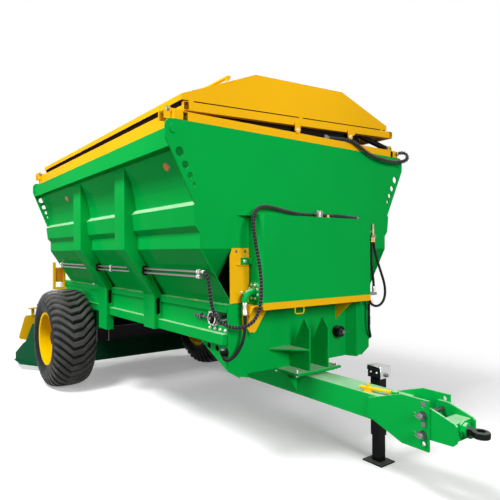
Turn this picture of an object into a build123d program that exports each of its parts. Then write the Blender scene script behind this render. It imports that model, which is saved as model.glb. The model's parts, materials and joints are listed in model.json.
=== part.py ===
"""Single-axle hopper spreader for manure and lime, parked on its jack.

Frame: +X towards the towing eye, +Y to the machine's left, +Z up, origin on the ground
below the middle of the machine's overall length and width. Millimetres and degrees.
"""
import os
from math import cos, pi, radians, sin, tan

from build123d import *

os.makedirs("parts", exist_ok=True)

# ---- driving dimensions: hopper ---------------------------------------------------------
hopper_length = 3680.0
front_reach = 1445.0            # front wall to the tip of the towing eye
rear_reach = 4545.0             # front wall to the rear edge of the spreading hood
front_x = (rear_reach - front_reach) / 2
rear_x = front_x - hopper_length

wall = 5.0                      # hopper sheet
wall_top = 2452.0
rail_top = 2420.0
rail_foot = 2285.0
rail_half = 1200.0              # half width over the top rails
waist_height = 1593.0
waist_half = 1003.0
wall_foot_back = 350.0          # how far the front wall's foot lies behind its top
ear_plate = 12.0
ear_overhang = 116.0            # lifting ears beyond the top of the side walls

frame_half = 770.0              # half width over the frame's side plates
frame_top = 1195.0
frame_foot = 905.0
frame_plate = 6.0
web_half = frame_half - frame_plate
frame_flange = 60.0
frame_rear = front_x - 4050.0

# outer face of the left wall, from the top down to the frame: half width, height
side_profile = [
    (1150.0, wall_top),
    (1124.0, rail_foot),
    (1066.0, 2156.0),
    (1036.0, 2033.0),
    (1020.0, 1921.0),
    (1056.0, 1888.0),
    (1040.0, 1750.0),
    (waist_half, 1706.0),
    (waist_half, waist_height),
    (frame_half - frame_flange / 2, frame_top),
]
ear_half = side_profile[0][0] + ear_overhang

# ---- driving dimensions: drawbar and running gear ---------------------------------------
tube_half = 107.0               # drawbar tube
tube_foot = 446.0
tube_top = 612.0
tube_wall = 8.0
tube_rear = front_x - 900.0
eye_outer = 50.0                # round the towing eye's bore
eye_x = front_x + front_reach - eye_outer
head_front = eye_x - 215.0
head_back = head_front - 120.0
hitch_holes_x = head_front - 70.0
tube_front = head_back - 160.0
tongue_top = 652.0              # top of the plates on the drawbar tube

track = 2048.0
tyre_diameter = 1134.0
tyre_width = 486.0
axle_x = front_x - 3040.0
axle_height = tyre_diameter / 2
beam_size = 150.0
beam_half = 740.0
bead_radius = 286.0
rim_width = 400.0
hub_radius = 110.0
spindle_radius = 45.0

jack_x = front_x + 500.0
jack_y = 250.0
jack_tube = 80.0
jack_wall = 6.0

# ---- driving dimensions: cover ----------------------------------------------------------
cover_rest = 2.7                # angle that the cover stands open on its stops
hinge_y = -1222.0
hinge_z = 2524.0
hinge_round = 18.0
hinge_pin = 8.0
base_top = 2511.0               # top of the frame that the cover closes on
hinge_lug_half = 25.0           # half width of the round-topped lugs that carry each hinge
cover_near = 100.0              # hinge to the near and far sides of the cover's frame
cover_far = 2352.0
cover_foot = -6.0               # underside of the cover's frame, from the hinge
cover_bar = 60.0
cover_bar_width = 45.0
cover_bar_wall = 4.0
cover_sheet = 4.0
cover_rear_back = 3430.0        # front wall to the rear of the cover and of the frame below it
base_rear_back = 3470.0

conveyor_radius = 48.0          # middle of the chain on its sprockets
conveyor_height = 1082.0
conveyor_front = front_x - 170.0
conveyor_rear = frame_rear + 130.0

run_clearance = 0.06            # radial play of a shaft or pin in its bore
seat = 0.3                      # gap between bodies that lie on each other
jack_leg_size = jack_tube - 2 * jack_wall - 2 * seat


# ---- shared shapes ----------------------------------------------------------------------
def block(x, y, z, mode=Mode.ADD):
    """A box between two values on each axis."""
    with Locations(((x[0] + x[1]) / 2, (y[0] + y[1]) / 2, (z[0] + z[1]) / 2)):
        Box(abs(x[1] - x[0]), abs(y[1] - y[0]), abs(z[1] - z[0]), mode=mode)


def bar(start, end, radius, mode=Mode.ADD):
    """A round bar between two points."""
    run = Vector(*end) - Vector(*start)
    with BuildSketch(Plane(origin=start, z_dir=run.normalized())) as section:
        Circle(radius)
    extrude(section.sketch, amount=run.length, mode=mode)


def plate(plane, points, thickness, mode=Mode.ADD):
    """A flat plate with straight edges, its thickness along the plane's normal."""
    with BuildSketch(plane) as face:
        Polygon(*points, align=None)
    extrude(face.sketch, amount=thickness, mode=mode)


def sheet(points, thickness):
    """A folded sheet seen on its edge, inside a sketch: the points of one face, and the
    thickness to the left of the line through them (to the right if negative)."""
    corners = [Vector(*point) for point in points]
    runs = [(end - start).normalized() for start, end in zip(corners, corners[1:])]
    normals = [Vector(-run.Y, run.X) for run in runs]
    far_face = [corners[0] + normals[0] * thickness]
    for corner, before, after in zip(corners[1:-1], normals, normals[1:]):
        far_face.append(corner + (before + after) * (thickness / (1 + before.dot(after))))
    far_face.append(corners[-1] + normals[-1] * thickness)
    Polygon(*[(v.X, v.Y) for v in corners + far_face[::-1]], align=None)


def mirrored(points):
    """The points of a left side followed by the same points on the right side."""
    return points + [(-y, z) for y, z in reversed(points)]


def save(piece, label):
    piece.part.label = label
    export_step(piece.part, f"parts/{label}.step")


def hose(points, radius, label):
    """A free hose: straight runs joined by arcs as large as the runs allow."""
    corners = [Vector(*point) for point in points]
    runs = [end - start for start, end in zip(corners, corners[1:])]
    bends = [
        0.45 * min(before.length, after.length) / tan(radians(before.get_angle(after)) / 2)
        for before, after in zip(runs, runs[1:])
    ]
    with BuildPart() as tube:
        with BuildLine() as route:
            FilletPolyline(*points, radius=bends)
        with BuildSketch(Plane(origin=corners[0], z_dir=runs[0].normalized())) as section:
            Circle(radius)
        sweep(section.sketch, path=route.wires()[0])
    length = route.wires()[0].length
    print(label, "length", round(length), "bends", [round(bend) for bend in bends],
          "volume / (section x length)", round(tube.part.volume / (pi * radius ** 2 * length), 4))
    save(tube, label)


# ---- hopper -----------------------------------------------------------------------------
with BuildPart() as side_walls:
    with BuildSketch(Plane.YZ.offset(rear_x)):
        sheet(side_profile, -wall)
    extrude(amount=hopper_length)
    mirror(about=Plane.XZ)
save(side_walls, "side_walls")

# everything inside the hopper's outer faces, to cut its neighbours to fit
with BuildPart() as envelope:
    with BuildSketch(Plane.YZ.offset(rear_x)):
        Polygon(*mirrored(side_profile), align=None)
    extrude(amount=hopper_length)

front_foot_x = front_x - wall_foot_back
with BuildPart() as front_wall:
    with BuildSketch(Plane.XZ):
        sheet([(front_x, wall_top), (front_x, waist_height), (front_foot_x, frame_top)], -wall)
    extrude(amount=rail_half, both=True)
    add(envelope.part, mode=Mode.INTERSECT)
    add(side_walls.part, mode=Mode.SUBTRACT)
save(front_wall, "front_wall")

outlet_half = 640.0
outlet_top = 1560.0
with BuildPart() as rear_wall:
    block((rear_x, rear_x + wall), (-rail_half, rail_half), (frame_top, wall_top))
    add(envelope.part, mode=Mode.INTERSECT)
    add(side_walls.part, mode=Mode.SUBTRACT)
    block((rear_x, rear_x + wall), (-outlet_half, outlet_half), (frame_top, outlet_top), Mode.SUBTRACT)
save(rear_wall, "rear_wall")

rail_inside = 1100.0
with BuildPart() as top_rails:
    with BuildSketch(Plane.YZ.offset(rear_x + ear_plate)):
        sheet(
            [(rail_inside, rail_top), (rail_half, rail_top), (rail_half, rail_foot), (rail_inside, rail_foot)],
            -wall,
        )
    extrude(amount=hopper_length - 2 * ear_plate)
    mirror(about=Plane.XZ)
    add(envelope.part, mode=Mode.SUBTRACT)
save(top_rails, "top_rails")

ear_shoulder = 2330.0
ear_foot = 1895.0
ear_foot_inset = 226.0
rear_ear_inset = 46.0           # the rear ears reach less far out at their shoulder
ear_round = 48.0
ear_boss = (ear_half - 59, 2386.0, 30.0)        # boss on each front ear: half width, height, radius
ear_boss_height = 10.0
ear_stub_inset = 60.0           # small boss on each rear ear, inside its open hole
# holes in each ear: distance from the middle, height, diameter
ear_holes = [
    (ear_half - 108, 2240.0, 62.0),
    (ear_half - 151, 2156.0, 52.0),
    (ear_half - 188, 2087.0, 42.0),
    (ear_half - 218, 2029.0, 32.0),
]
with BuildPart() as lifting_ears:
    for x, inset in ((front_x - ear_plate, 0.0), (rear_x, rear_ear_inset)):
        outer = ear_half - inset
        with BuildSketch(Plane.YZ.offset(x)) as ear_face:
            Polygon(
                (waist_half, wall_top), (outer, wall_top), (outer, ear_shoulder),
                (ear_half - ear_foot_inset, ear_foot), (waist_half, ear_foot), align=None,
            )
            fillet(ear_face.vertices().sort_by(Axis.X)[-2:], ear_round)
            for half, height, diameter in ear_holes:
                shift = inset * (height - ear_foot) / (ear_shoulder - ear_foot)
                with Locations((half - shift, height)):
                    Circle(diameter / 2, mode=Mode.SUBTRACT)
        extrude(ear_face.sketch, amount=ear_plate)
    half, height, radius = ear_boss
    bar((front_x - 1, half, height), (front_x + ear_boss_height, half, height), radius)
    rear_half = half - rear_ear_inset
    bar((rear_x - 1, rear_half, height), (rear_x + ear_plate + 1, rear_half, height), radius + 2, Mode.SUBTRACT)
    rear_half -= ear_stub_inset
    bar((rear_x, rear_half, height), (rear_x - ear_boss_height, rear_half, height), radius * 0.6)
    mirror(about=Plane.XZ)
    add(envelope.part, mode=Mode.SUBTRACT)
save(lifting_ears, "lifting_ears")

# posts on each side: rear and front edge measured back from the front wall, foot's height
posts = [(1220.0, 1010.0, 900.0), (2360.0, 2130.0, 750.0)]
post_half = 1120.0
post_foot_half = frame_half + 75
post_sheet = 6.0
pipe_heights = (1430.0, 1396.0)         # the side pipes run through the posts
pipe_gap = 40.0                 # upper pipe's middle to the sloping wall, across the machine
wall_slope = (waist_half - side_profile[-1][0]) / (waist_height - frame_top)
pipe_half = side_profile[-1][0] + wall_slope * (pipe_heights[0] - frame_top) + pipe_gap
pipe_radius = 9.0
grommet_radius = 26.0
post_slot_length = 140.0
post_slot_width = 26.0
post_slot_height = 1100.0


def post_section(inset, foot):
    """A post seen from the front, its face moved in by the inset."""
    half = post_half - inset
    foot_half = post_foot_half - inset
    Polygon(
        (half, rail_foot - inset), (half, waist_height), (foot_half, frame_top), (foot_half, foot + inset),
        (frame_half, foot + inset), (frame_half, frame_top), (frame_half - frame_flange, frame_top),
        (waist_half - 60, waist_height), (waist_half - 60, rail_foot - inset), align=None,
    )


with BuildPart() as side_posts:
    for back, front, foot in posts:
        with BuildSketch(Plane.YZ.offset(front_x - back)):
            post_section(0, foot)
        extrude(amount=back - front)
        with BuildSketch(Plane.YZ.offset(front_x - back + post_sheet)):
            post_section(post_sheet, foot)
        extrude(amount=back - front - 2 * post_sheet, mode=Mode.SUBTRACT)
        for height in pipe_heights:
            bar((front_x - back - 1, pipe_half, height), (front_x - front + 1, pipe_half, height),
                grommet_radius, Mode.SUBTRACT)
        with BuildSketch(Plane.YZ.offset(front_x - front - post_sheet - 1)) as slot:
            with Locations(((frame_half + post_foot_half) / 2, post_slot_height)):
                SlotOverall(post_slot_length, post_slot_width, rotation=90)
        extrude(slot.sketch, amount=post_sheet + 2, mode=Mode.SUBTRACT)
    add(envelope.part, mode=Mode.SUBTRACT)
    mirror(about=Plane.XZ)
save(side_posts, "side_posts")

# ---- frame ------------------------------------------------------------------------------
rib = 12.0
rib_rear = axle_x + tyre_diameter / 2 + 40
plate_front = front_x - 8.0
gusset_back = 400.0
gusset_foot = 715.0
slot_rear = front_x - 225.0     # opening that the conveyor's front bearing slides in
slot_front = front_x - 15.0
slot_foot = 1035.0
slot_top = 1130.0
with BuildPart() as frame_sides:
    with BuildSketch(Plane.YZ.offset(frame_rear)):
        sheet(
            [(frame_half - frame_flange, frame_top), (frame_half, frame_top),
             (frame_half, frame_foot), (frame_half - frame_flange, frame_foot)],
            -frame_plate,
        )
    extrude(amount=plate_front - frame_rear)
    for height in (975, 1165):
        block((rib_rear, plate_front), (frame_half, frame_half + rib), (height - 4, height + 4))
    plate(
        Plane.XZ.offset(-frame_half),
        [(front_x - gusset_back, frame_foot), (plate_front, frame_foot), (plate_front, gusset_foot)],
        frame_plate,
    )
    for edge in (975, 1165):
        for back, front, foot in posts:
            block((front_x - back, front_x - front), (frame_half, frame_half + rib), (edge - 4, edge + 4), Mode.SUBTRACT)
    block((slot_rear, slot_front), (frame_half - frame_flange, frame_half + rib), (slot_foot, slot_top), Mode.SUBTRACT)
    bar((conveyor_rear, web_half - 1, conveyor_height), (conveyor_rear, frame_half + 1, conveyor_height), 35,
        Mode.SUBTRACT)
    mirror(about=Plane.XZ)
save(frame_sides, "frame_sides")

# cross bars between the side plates: distance behind the front wall
crossbars = [800.0, 1115.0, 2245.0, 3040.0, 3640.0]
crossbar_foot = frame_foot + frame_plate
crossbar_height = 60.0
with BuildPart() as frame_crossbars:
    for back in crossbars:
        block((front_x - back - 40, front_x - back + 40), (-web_half, web_half),
              (crossbar_foot, crossbar_foot + crossbar_height))
        block((front_x - back - 34, front_x - back + 34), (-web_half, web_half),
              (crossbar_foot + 6, crossbar_foot + crossbar_height - 6), Mode.SUBTRACT)
    hanger_x = front_x - crossbars[0]
    block((hanger_x - 90, hanger_x + 90), (-tube_half, tube_half), (tube_top, crossbar_foot))
    block((hanger_x - 80, hanger_x + 80), (-tube_half + 10, tube_half - 10), (tube_top, crossbar_foot), Mode.SUBTRACT)
save(frame_crossbars, "frame_crossbars")

front_panel_x = front_x - 90.0
panel_half = 560.0
with BuildPart() as front_panel:
    with BuildSketch(Plane.XY.offset(tongue_top)):
        sheet(
            [(front_x, -frame_half), (front_x, -600), (front_panel_x, -panel_half),
             (front_panel_x, panel_half), (front_x, 600), (front_x, frame_half)],
            8,
        )
    extrude(amount=frame_top - tongue_top)
    for side in (1, -1):
        plate(
            Plane.YZ.offset(front_panel_x - 20),
            [(side * (frame_half + 1), 930), (side * 690, tongue_top + 20), (side * 600, tongue_top - 1),
             (side * (frame_half + 1), tongue_top - 1)],
            140, Mode.SUBTRACT,
        )
save(front_panel, "front_panel")

# ---- drawbar ----------------------------------------------------------------------------
with BuildPart() as drawbar_tube:
    block((tube_rear, tube_front), (-tube_half, tube_half), (tube_foot, tube_top))
    block((tube_rear, tube_front), (-tube_half + tube_wall, tube_half - tube_wall),
          (tube_foot + tube_wall, tube_top - tube_wall), Mode.SUBTRACT)
save(drawbar_tube, "drawbar_tube")

tongue_half = 240.0
gusset_plate = 12.0
shelf_height = 806.0
with BuildPart() as drawbar_gussets:
    block((front_x - 150, front_x + 145), (-tongue_half, tongue_half), (tongue_top - 20, tongue_top))
    block((front_x - 150, front_x + 100), (-tongue_half + 30, tongue_half - 30), (tube_top, tongue_top - 20))
    for side in (1, -1):
        plate(
            Plane.YZ.offset(front_x - 12),
            [(side * tube_half, tube_top), (side * (tongue_half - 30), tube_top), (side * tube_half, tube_foot + 20)],
            12,
        )

    plate(
        Plane.XZ.offset(-tube_half),
        [(front_panel_x, tongue_top), (front_x + 138, tongue_top), (front_x + 140, 963),
         (front_x + 80, 1050), (front_panel_x, 741)],
        gusset_plate,
    )
    plate(
        Plane.XY.offset(shelf_height),
        [(front_panel_x, tube_half), (front_x + 140, tube_half), (front_panel_x, 330)],
        gusset_plate,
    )
    mirror(about=Plane.XZ)
save(drawbar_gussets, "drawbar_gussets")

hitch_plate = 15.0
hitch_hole_heights = (643.0, 585.0, 527.0, 469.0, 411.0)
hitch_hole_radius = 15.0
with BuildPart() as hitch_plates:
    plate(
        Plane.XZ.offset(-tube_half - hitch_plate),
        [(tube_front - 200, 470), (tube_front - 200, 590), (tube_front + 60, 675), (hitch_holes_x + 35, 675),
         (hitch_holes_x + 35, 370), (tube_front + 60, 370)],
        hitch_plate,
    )
    mirror(about=Plane.XZ)
    for height in hitch_hole_heights:
        bar((hitch_holes_x, -tube_half - hitch_plate, height), (hitch_holes_x, tube_half + hitch_plate, height),
            hitch_hole_radius, Mode.SUBTRACT)
save(hitch_plates, "hitch_plates")

eye_height = 527.0
eye_bore = 25.0
eye_thickness = 40.0
eye_shank = 20.0
with BuildPart() as hitch_head:
    block((head_back, head_front), (-tube_half, tube_half), (450, 604))
    block((head_back, head_front - 25), (-tube_half + 15, tube_half - 15), (450, 604), Mode.SUBTRACT)
    for height in (hitch_hole_heights[1], hitch_hole_heights[3]):
        bar((hitch_holes_x, -tube_half, height), (hitch_holes_x, tube_half, height), hitch_hole_radius, Mode.SUBTRACT)
    bar((head_front - 25, 0, eye_height), (head_front, 0, eye_height), eye_shank, Mode.SUBTRACT)
save(hitch_head, "hitch_head")

with BuildPart() as towing_eye:
    with Locations((eye_x, 0, eye_height)):
        Cylinder(eye_outer, eye_thickness)
    fillet(towing_eye.edges(), 10)
    with Locations((eye_x, 0, eye_height)):
        Cylinder(eye_bore, eye_thickness, mode=Mode.SUBTRACT)
    bar((head_front - 75, 0, eye_height), (eye_x - eye_outer + 8, 0, eye_height), eye_shank)
    with BuildSketch(Plane.YZ.offset(head_front - 65)):
        with Locations((0, eye_height)):
            RegularPolygon(42, 6)
    extrude(amount=40)
    bar((head_front, 0, eye_height), (head_front + 24, 0, eye_height), 36)
save(towing_eye, "towing_eye")

# ---- parking jack -----------------------------------------------------------------------
jack_foot_plate = 10.0
jack_housing_foot = 200.0
jack_head_foot = 633.0
jack_head_top = 717.0
with BuildPart() as jack_housing:
    half = jack_tube / 2
    block((jack_x - half, jack_x + half), (jack_y - half, jack_y + half), (jack_housing_foot, jack_head_foot))
    block((jack_x - half + jack_wall, jack_x + half - jack_wall), (jack_y - half + jack_wall, jack_y + half - jack_wall),
          (jack_housing_foot, jack_head_foot - 3), Mode.SUBTRACT)
    block((jack_x - 50, jack_x + 50), (tube_half, jack_y - half), (480, 580))
    block((jack_x - 55, jack_x + 55), (jack_y - 52, jack_y + 52), (jack_head_foot, jack_head_top - 30))
    with BuildSketch(Plane.XY.offset(jack_head_top - 30)):
        with Locations((jack_x, jack_y)):
            RectangleRounded(124, 118, 10)
    extrude(amount=30)
save(jack_housing, "jack_housing")

jack_leg_top = 300.0
with BuildPart() as jack_leg:
    half = jack_leg_size / 2
    block((jack_x - half, jack_x + half), (jack_y - half, jack_y + half), (jack_foot_plate, jack_leg_top))
    block((jack_x - half + 5, jack_x + half - 5), (jack_y - half + 5, jack_y + half - 5),
          (jack_foot_plate, jack_leg_top), Mode.SUBTRACT)
    block((jack_x - 85, jack_x + 85), (jack_y - 80, jack_y + 80), (0, jack_foot_plate))
save(jack_leg, "jack_leg")

with BuildPart() as drawbar_lever:
    block((front_x + 640, front_x + 690), (-90, -60), (tube_top, tube_top + 18))
    bar((front_x + 610, -88, tube_top + 28), (front_x + 850, -30, tube_top + 28), 11)
    bar((front_x + 665, -75, tube_top), (front_x + 665, -75, tube_top + 60), 9)
save(drawbar_lever, "drawbar_lever")

# ---- axle and wheels --------------------------------------------------------------------
with BuildPart() as axle_beam:
    half = beam_size / 2
    block((axle_x - half, axle_x + half), (-beam_half, beam_half), (axle_height - half, axle_height + half))
    block((axle_x - half + 12, axle_x + half - 12), (-beam_half + 12, beam_half - 12),
          (axle_height - half + 12, axle_height + half - 12), Mode.SUBTRACT)
    bar((axle_x, beam_half, axle_height), (axle_x, track / 2 + 10, axle_height), spindle_radius)
    bar((axle_x, -beam_half, axle_height), (axle_x, -track / 2 - 10, axle_height), spindle_radius)
save(axle_beam, "axle_beam")

pedestal_half = 580.0           # middle of each axle pedestal
pedestal_width = 160.0
beam_top = axle_height + beam_size / 2
with BuildPart() as axle_pedestals:
    low, high = pedestal_half - pedestal_width / 2, pedestal_half + pedestal_width / 2
    block((axle_x - 90, axle_x + 90), (low, high), (beam_top, crossbar_foot))
    block((axle_x - 80, axle_x + 80), (low + 10, high - 10), (beam_top + 10, crossbar_foot - 10), Mode.SUBTRACT)
    block((axle_x - 110, axle_x + 110), (low - 25, high + 25), (beam_top, beam_top + 15))
    mirror(about=Plane.XZ)
save(axle_pedestals, "axle_pedestals")

# tyre from the bead over the shoulder to the tread: distance from the middle, radius
side_half = tyre_width / 2
tread_radius = tyre_diameter / 2
lug_height = 22.0
lug_tips = [(side_half, 430), (side_half - 7, 500), (side_half - 38, tread_radius - 19), (120, tread_radius - 3),
            (0, tread_radius)]
tyre_outside = [(196, bead_radius + 1), (203, 303), (236, 372), (side_half, 430), (side_half - 12, 490),
                (side_half - 46, tread_radius - 40), (118, tread_radius - lug_height - 3),
                (0, tread_radius - lug_height)]
tyre_inside = [(196, bead_radius + 1), (170, 303), (205, 375), (212, 430), (202, 484), (172, 508), (100, 526), (0, 528)]
wheel_axis = Axis((axle_x, 0, axle_height), (0, 1, 0))
lug_count = 36
lug_half = 26.0                 # half the length of a lug along the tread
lug_middle = 45.0               # half width of a lug's straight middle
lug_sweep = 92.0                # how far its ends trail behind the middle


def wheel_ring(half_profile):
    """The closed outline of a ring about the axle, from half of it on one side."""
    points = [(track / 2 + y, axle_height + r) for y, r in half_profile]
    points += [(track / 2 - y, axle_height + r) for y, r in reversed(half_profile[:-1])]
    return points


with BuildPart() as tread_lug:
    with BuildSketch(Plane.XY.offset(axle_height + 470)):
        Polygon(
            *[(axle_x + x, track / 2 + y) for x, y in (
                (lug_half, -lug_middle), (lug_half, lug_middle), (lug_half - lug_sweep, side_half),
                (-lug_half - lug_sweep, side_half), (-lug_half, lug_middle), (-lug_half, -lug_middle),
                (-lug_half - lug_sweep, -side_half), (lug_half - lug_sweep, -side_half),
            )], align=None,
        )
    extrude(amount=tread_radius - 465)
    with BuildSketch(Plane.YZ.offset(axle_x)):
        Polygon(*wheel_ring(lug_tips), align=None)
    revolve(axis=wheel_axis, mode=Mode.INTERSECT)

with BuildPart() as tyre_left:
    with BuildSketch(Plane.YZ.offset(axle_x)):
        Polygon(*(wheel_ring(tyre_outside) + wheel_ring(tyre_inside)[-2:0:-1]), align=None)
    revolve(axis=wheel_axis)
    add([tread_lug.part.rotate(wheel_axis, 360 * number / lug_count) for number in range(lug_count)])
save(tyre_left, "tyre_left")

with BuildPart() as rim_left:
    with BuildSketch(Plane.YZ.offset(axle_x)):
        with BuildLine():
            Polyline(
                (track / 2 - 212, axle_height + 305), (track / 2 - 204, axle_height + 305),
                (track / 2 - 200, axle_height + bead_radius), (track / 2 + 200, axle_height + bead_radius),
                (track / 2 + 204, axle_height + 305), (track / 2 + 212, axle_height + 305),
                (track / 2 + 206, axle_height + bead_radius - 8), (track / 2 - 10, axle_height + bead_radius - 8),
                (track / 2 - 24, axle_height + 240), (track / 2 - 24, axle_height + hub_radius),
                (track / 2 - 36, axle_height + hub_radius), (track / 2 - 36, axle_height + 244),
                (track / 2 - 26, axle_height + bead_radius - 8), (track / 2 - 206, axle_height + bead_radius - 8),
                close=True,
            )
        make_face()
    revolve(axis=wheel_axis)
save(rim_left, "rim_left")

with BuildPart() as hub_left:
    with BuildSketch(Plane.YZ.offset(axle_x)):
        with BuildLine():
            Polyline(
                (track / 2 - 130, axle_height + spindle_radius + run_clearance), (track / 2 - 130, axle_height + 85),
                (track / 2 - 36, axle_height + 85), (track / 2 - 36, axle_height + hub_radius),
                (track / 2 - 8, axle_height + hub_radius),
                (track / 2 - 8, axle_height + 80), (track / 2 + 60, axle_height + 72),
                (track / 2 + 66, axle_height), (track / 2 + 11, axle_height),
                (track / 2 + 11, axle_height + spindle_radius + run_clearance),
                close=True,
            )
        make_face()
    revolve(axis=wheel_axis)
save(hub_left, "hub_left")

for piece, label in ((tyre_left, "tyre_right"), (rim_left, "rim_right"), (hub_left, "hub_right")):
    with BuildPart() as twin:
        mirror(piece.part, about=Plane.XZ)
    save(twin, label)

# ---- conveyor ---------------------------------------------------------------------------
chain_half = 550.0              # middle of each chain
chain_width = 30.0
chain_thickness = 20.0
slat_half = 700.0
slat_pitch = 250.0
slat_height = 10.0
conveyor_length = conveyor_front - conveyor_rear
chain_outer = conveyor_radius + chain_thickness / 2
chain_inner = conveyor_radius - chain_thickness / 2
conveyor_middle = (conveyor_front + conveyor_rear) / 2
with BuildPart() as conveyor_chain:
    with BuildSketch(Plane.XZ.offset(-chain_half - chain_width / 2)):
        with Locations((conveyor_middle, conveyor_height)):
            SlotCenterToCenter(conveyor_length, 2 * chain_outer)
            SlotCenterToCenter(conveyor_length, 2 * chain_inner, mode=Mode.SUBTRACT)
    extrude(amount=chain_width)
    mirror(about=Plane.XZ)
    slat_count = int(conveyor_length // slat_pitch)
    for number in range(slat_count):
        x = conveyor_rear + (number + 0.5) * slat_pitch
        for side in (1, -1):
            near = conveyor_height + side * (chain_outer - 1)
            block((x - 15, x + 15), (-slat_half, slat_half), (near, near + side * slat_height))
save(conveyor_chain, "conveyor_chain")

shaft_radius = 25.0
bearing_half = frame_half + 20
with BuildPart() as conveyor_shafts:
    for x in (conveyor_front, conveyor_rear):
        bar((x, -bearing_half - 15, conveyor_height), (x, bearing_half + 15, conveyor_height), shaft_radius)
        for y in (-chain_half, chain_half):
            bar((x, y - 12, conveyor_height), (x, y + 12, conveyor_height), chain_inner)
save(conveyor_shafts, "conveyor_shafts")

with BuildPart() as conveyor_bearings:
    block((slot_rear, conveyor_front + 50), (web_half - 20, bearing_half), (slot_foot, slot_top))
    bar((conveyor_front, frame_half, conveyor_height), (conveyor_front, bearing_half, conveyor_height), 55)
    block((conveyor_rear - 60, conveyor_rear + 60), (frame_half, bearing_half), (1000, 1160))
    mirror(about=Plane.XZ)
    for x in (conveyor_front, conveyor_rear):
        bar((x, -bearing_half - 20, conveyor_height), (x, bearing_half + 20, conveyor_height), shaft_radius,
            Mode.SUBTRACT)
save(conveyor_bearings, "conveyor_bearings")

floor_top = conveyor_height + chain_inner
with BuildPart() as conveyor_floor:
    block((conveyor_rear + 80, conveyor_front - 80), (-web_half, web_half), (floor_top - 5, floor_top))
    block((front_foot_x, front_panel_x - 8), (-web_half + frame_flange, web_half - frame_flange),
          (frame_top - 6, frame_top))
save(conveyor_floor, "conveyor_floor")

# ---- outlet gate ------------------------------------------------------------------------
gate_lift = 360.0
gate_half = 665.0
gate_foot = conveyor_height + chain_outer + slat_height + 15
gate_top = outlet_top + 30
gate_plate = 8.0
guide_half = 700.0
with BuildPart() as gate:
    block((rear_x - seat - gate_plate, rear_x - seat), (-gate_half, gate_half), (gate_foot, gate_top))
    for height in (gate_foot + 80, gate_top - 60):
        block((rear_x - seat - gate_plate - 40, rear_x - seat - gate_plate), (-600, 600), (height, height + 40))
save(gate, "gate")

with BuildPart() as gate_guides:
    with BuildSketch(Plane.XY.offset(frame_top)):
        sheet(
            [(rear_x, gate_half + 2), (rear_x, guide_half), (rear_x - gate_plate - 9, guide_half),
             (rear_x - gate_plate - 9, gate_half - 25)],
            6,
        )
    extrude(amount=gate_top + gate_lift - frame_top)
    mirror(about=Plane.XZ)
save(gate_guides, "gate_guides")

# ---- cover ------------------------------------------------------------------------------
hinges = [90.0, 3370.0]         # distance of each hinge behind the front wall
hinge_width = 70.0
lug = 10.0
lug_foot = 2460.0
base_inner = 1090.0
base_sheet = 5.0
base_bar = 50.0
base_end_inner = 1130.0         # the plates that close the front ends reach in to here
base_rear = front_x - base_rear_back
cylinder_x = front_x - 90.0
cylinder_gap = 23.0             # half the space between the lugs at each end of the cylinder
cylinder_pin = 12.0
cylinder_foot = Vector(cylinder_x, 1165, 2545)      # pin of the barrel on the hopper
with BuildPart() as cover_base:
    with BuildSketch(Plane.YZ.offset(base_rear)):
        sheet([(rail_half, rail_top), (rail_half, base_top), (base_inner, base_top), (base_inner, wall_top)],
              base_sheet)
    extrude(amount=base_rear_back)
    block((front_x - base_sheet, front_x), (base_end_inner, rail_half), (wall_top + 1, base_top))
    mirror(about=Plane.XZ)
    for x in (front_x - base_bar, base_rear):
        block((x, x + base_bar), (-base_inner - base_sheet, base_inner + base_sheet), (wall_top, base_top))
        block((x + base_sheet, x + base_bar - base_sheet), (-base_inner, base_inner),
              (wall_top + base_sheet, base_top - base_sheet), Mode.SUBTRACT)
    add(lifting_ears.part, mode=Mode.SUBTRACT)
    for back in hinges:
        for x in (front_x - back - hinge_width / 2 - lug, front_x - back + hinge_width / 2):
            with BuildSketch(Plane.YZ.offset(x)) as lug_face:
                with Locations((hinge_y, (lug_foot + hinge_z) / 2)):
                    Rectangle(2 * hinge_lug_half, hinge_z - lug_foot)
                with Locations((hinge_y, hinge_z)):
                    Circle(hinge_lug_half)
                    Circle(hinge_pin, mode=Mode.SUBTRACT)
            extrude(lug_face.sketch, amount=lug)
    for x in (cylinder_x - cylinder_gap - lug, cylinder_x + cylinder_gap):
        plate(
            Plane.YZ.offset(x),
            [(1120, base_top - 0.01), (1150, 2570), (1180, 2570), (rail_half, base_top - 0.01)], lug,
        )
        bar((x - 1, cylinder_foot.Y, cylinder_foot.Z), (x + lug + 1, cylinder_foot.Y, cylinder_foot.Z),
            cylinder_pin, Mode.SUBTRACT)
save(cover_base, "cover_base")

with BuildPart() as steel_pins:
    for height in (hitch_hole_heights[1], hitch_hole_heights[3]):
        bar((hitch_holes_x, -tube_half - 40, height), (hitch_holes_x, tube_half + 40, height), hitch_hole_radius - 0.1)
        bar((hitch_holes_x, -tube_half - 40, height), (hitch_holes_x, -tube_half - hitch_plate - 0.2, height), 24)
    for back in hinges:
        x = front_x - back
        bar((x - hinge_width / 2 - lug - 4, hinge_y, hinge_z), (x + hinge_width / 2 + lug + 4, hinge_y, hinge_z),
            hinge_pin)
    reach = cylinder_gap + lug + 4
    bar((cylinder_x - reach, cylinder_foot.Y, cylinder_foot.Z), (cylinder_x + reach, cylinder_foot.Y, cylinder_foot.Z),
        cylinder_pin)
save(steel_pins, "steel_pins")

lean = radians(cover_rest)
cover_front = front_x - 5
cover_rear = front_x - cover_rear_back
cover_length = cover_front - cover_rear


def cover_plane(x):
    """Across the cover: its own level as first axis, measured from the hinge."""
    return Plane(origin=(x, hinge_y, hinge_z), x_dir=(0, cos(lean), sin(lean)), z_dir=(1, 0, 0))


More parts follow.
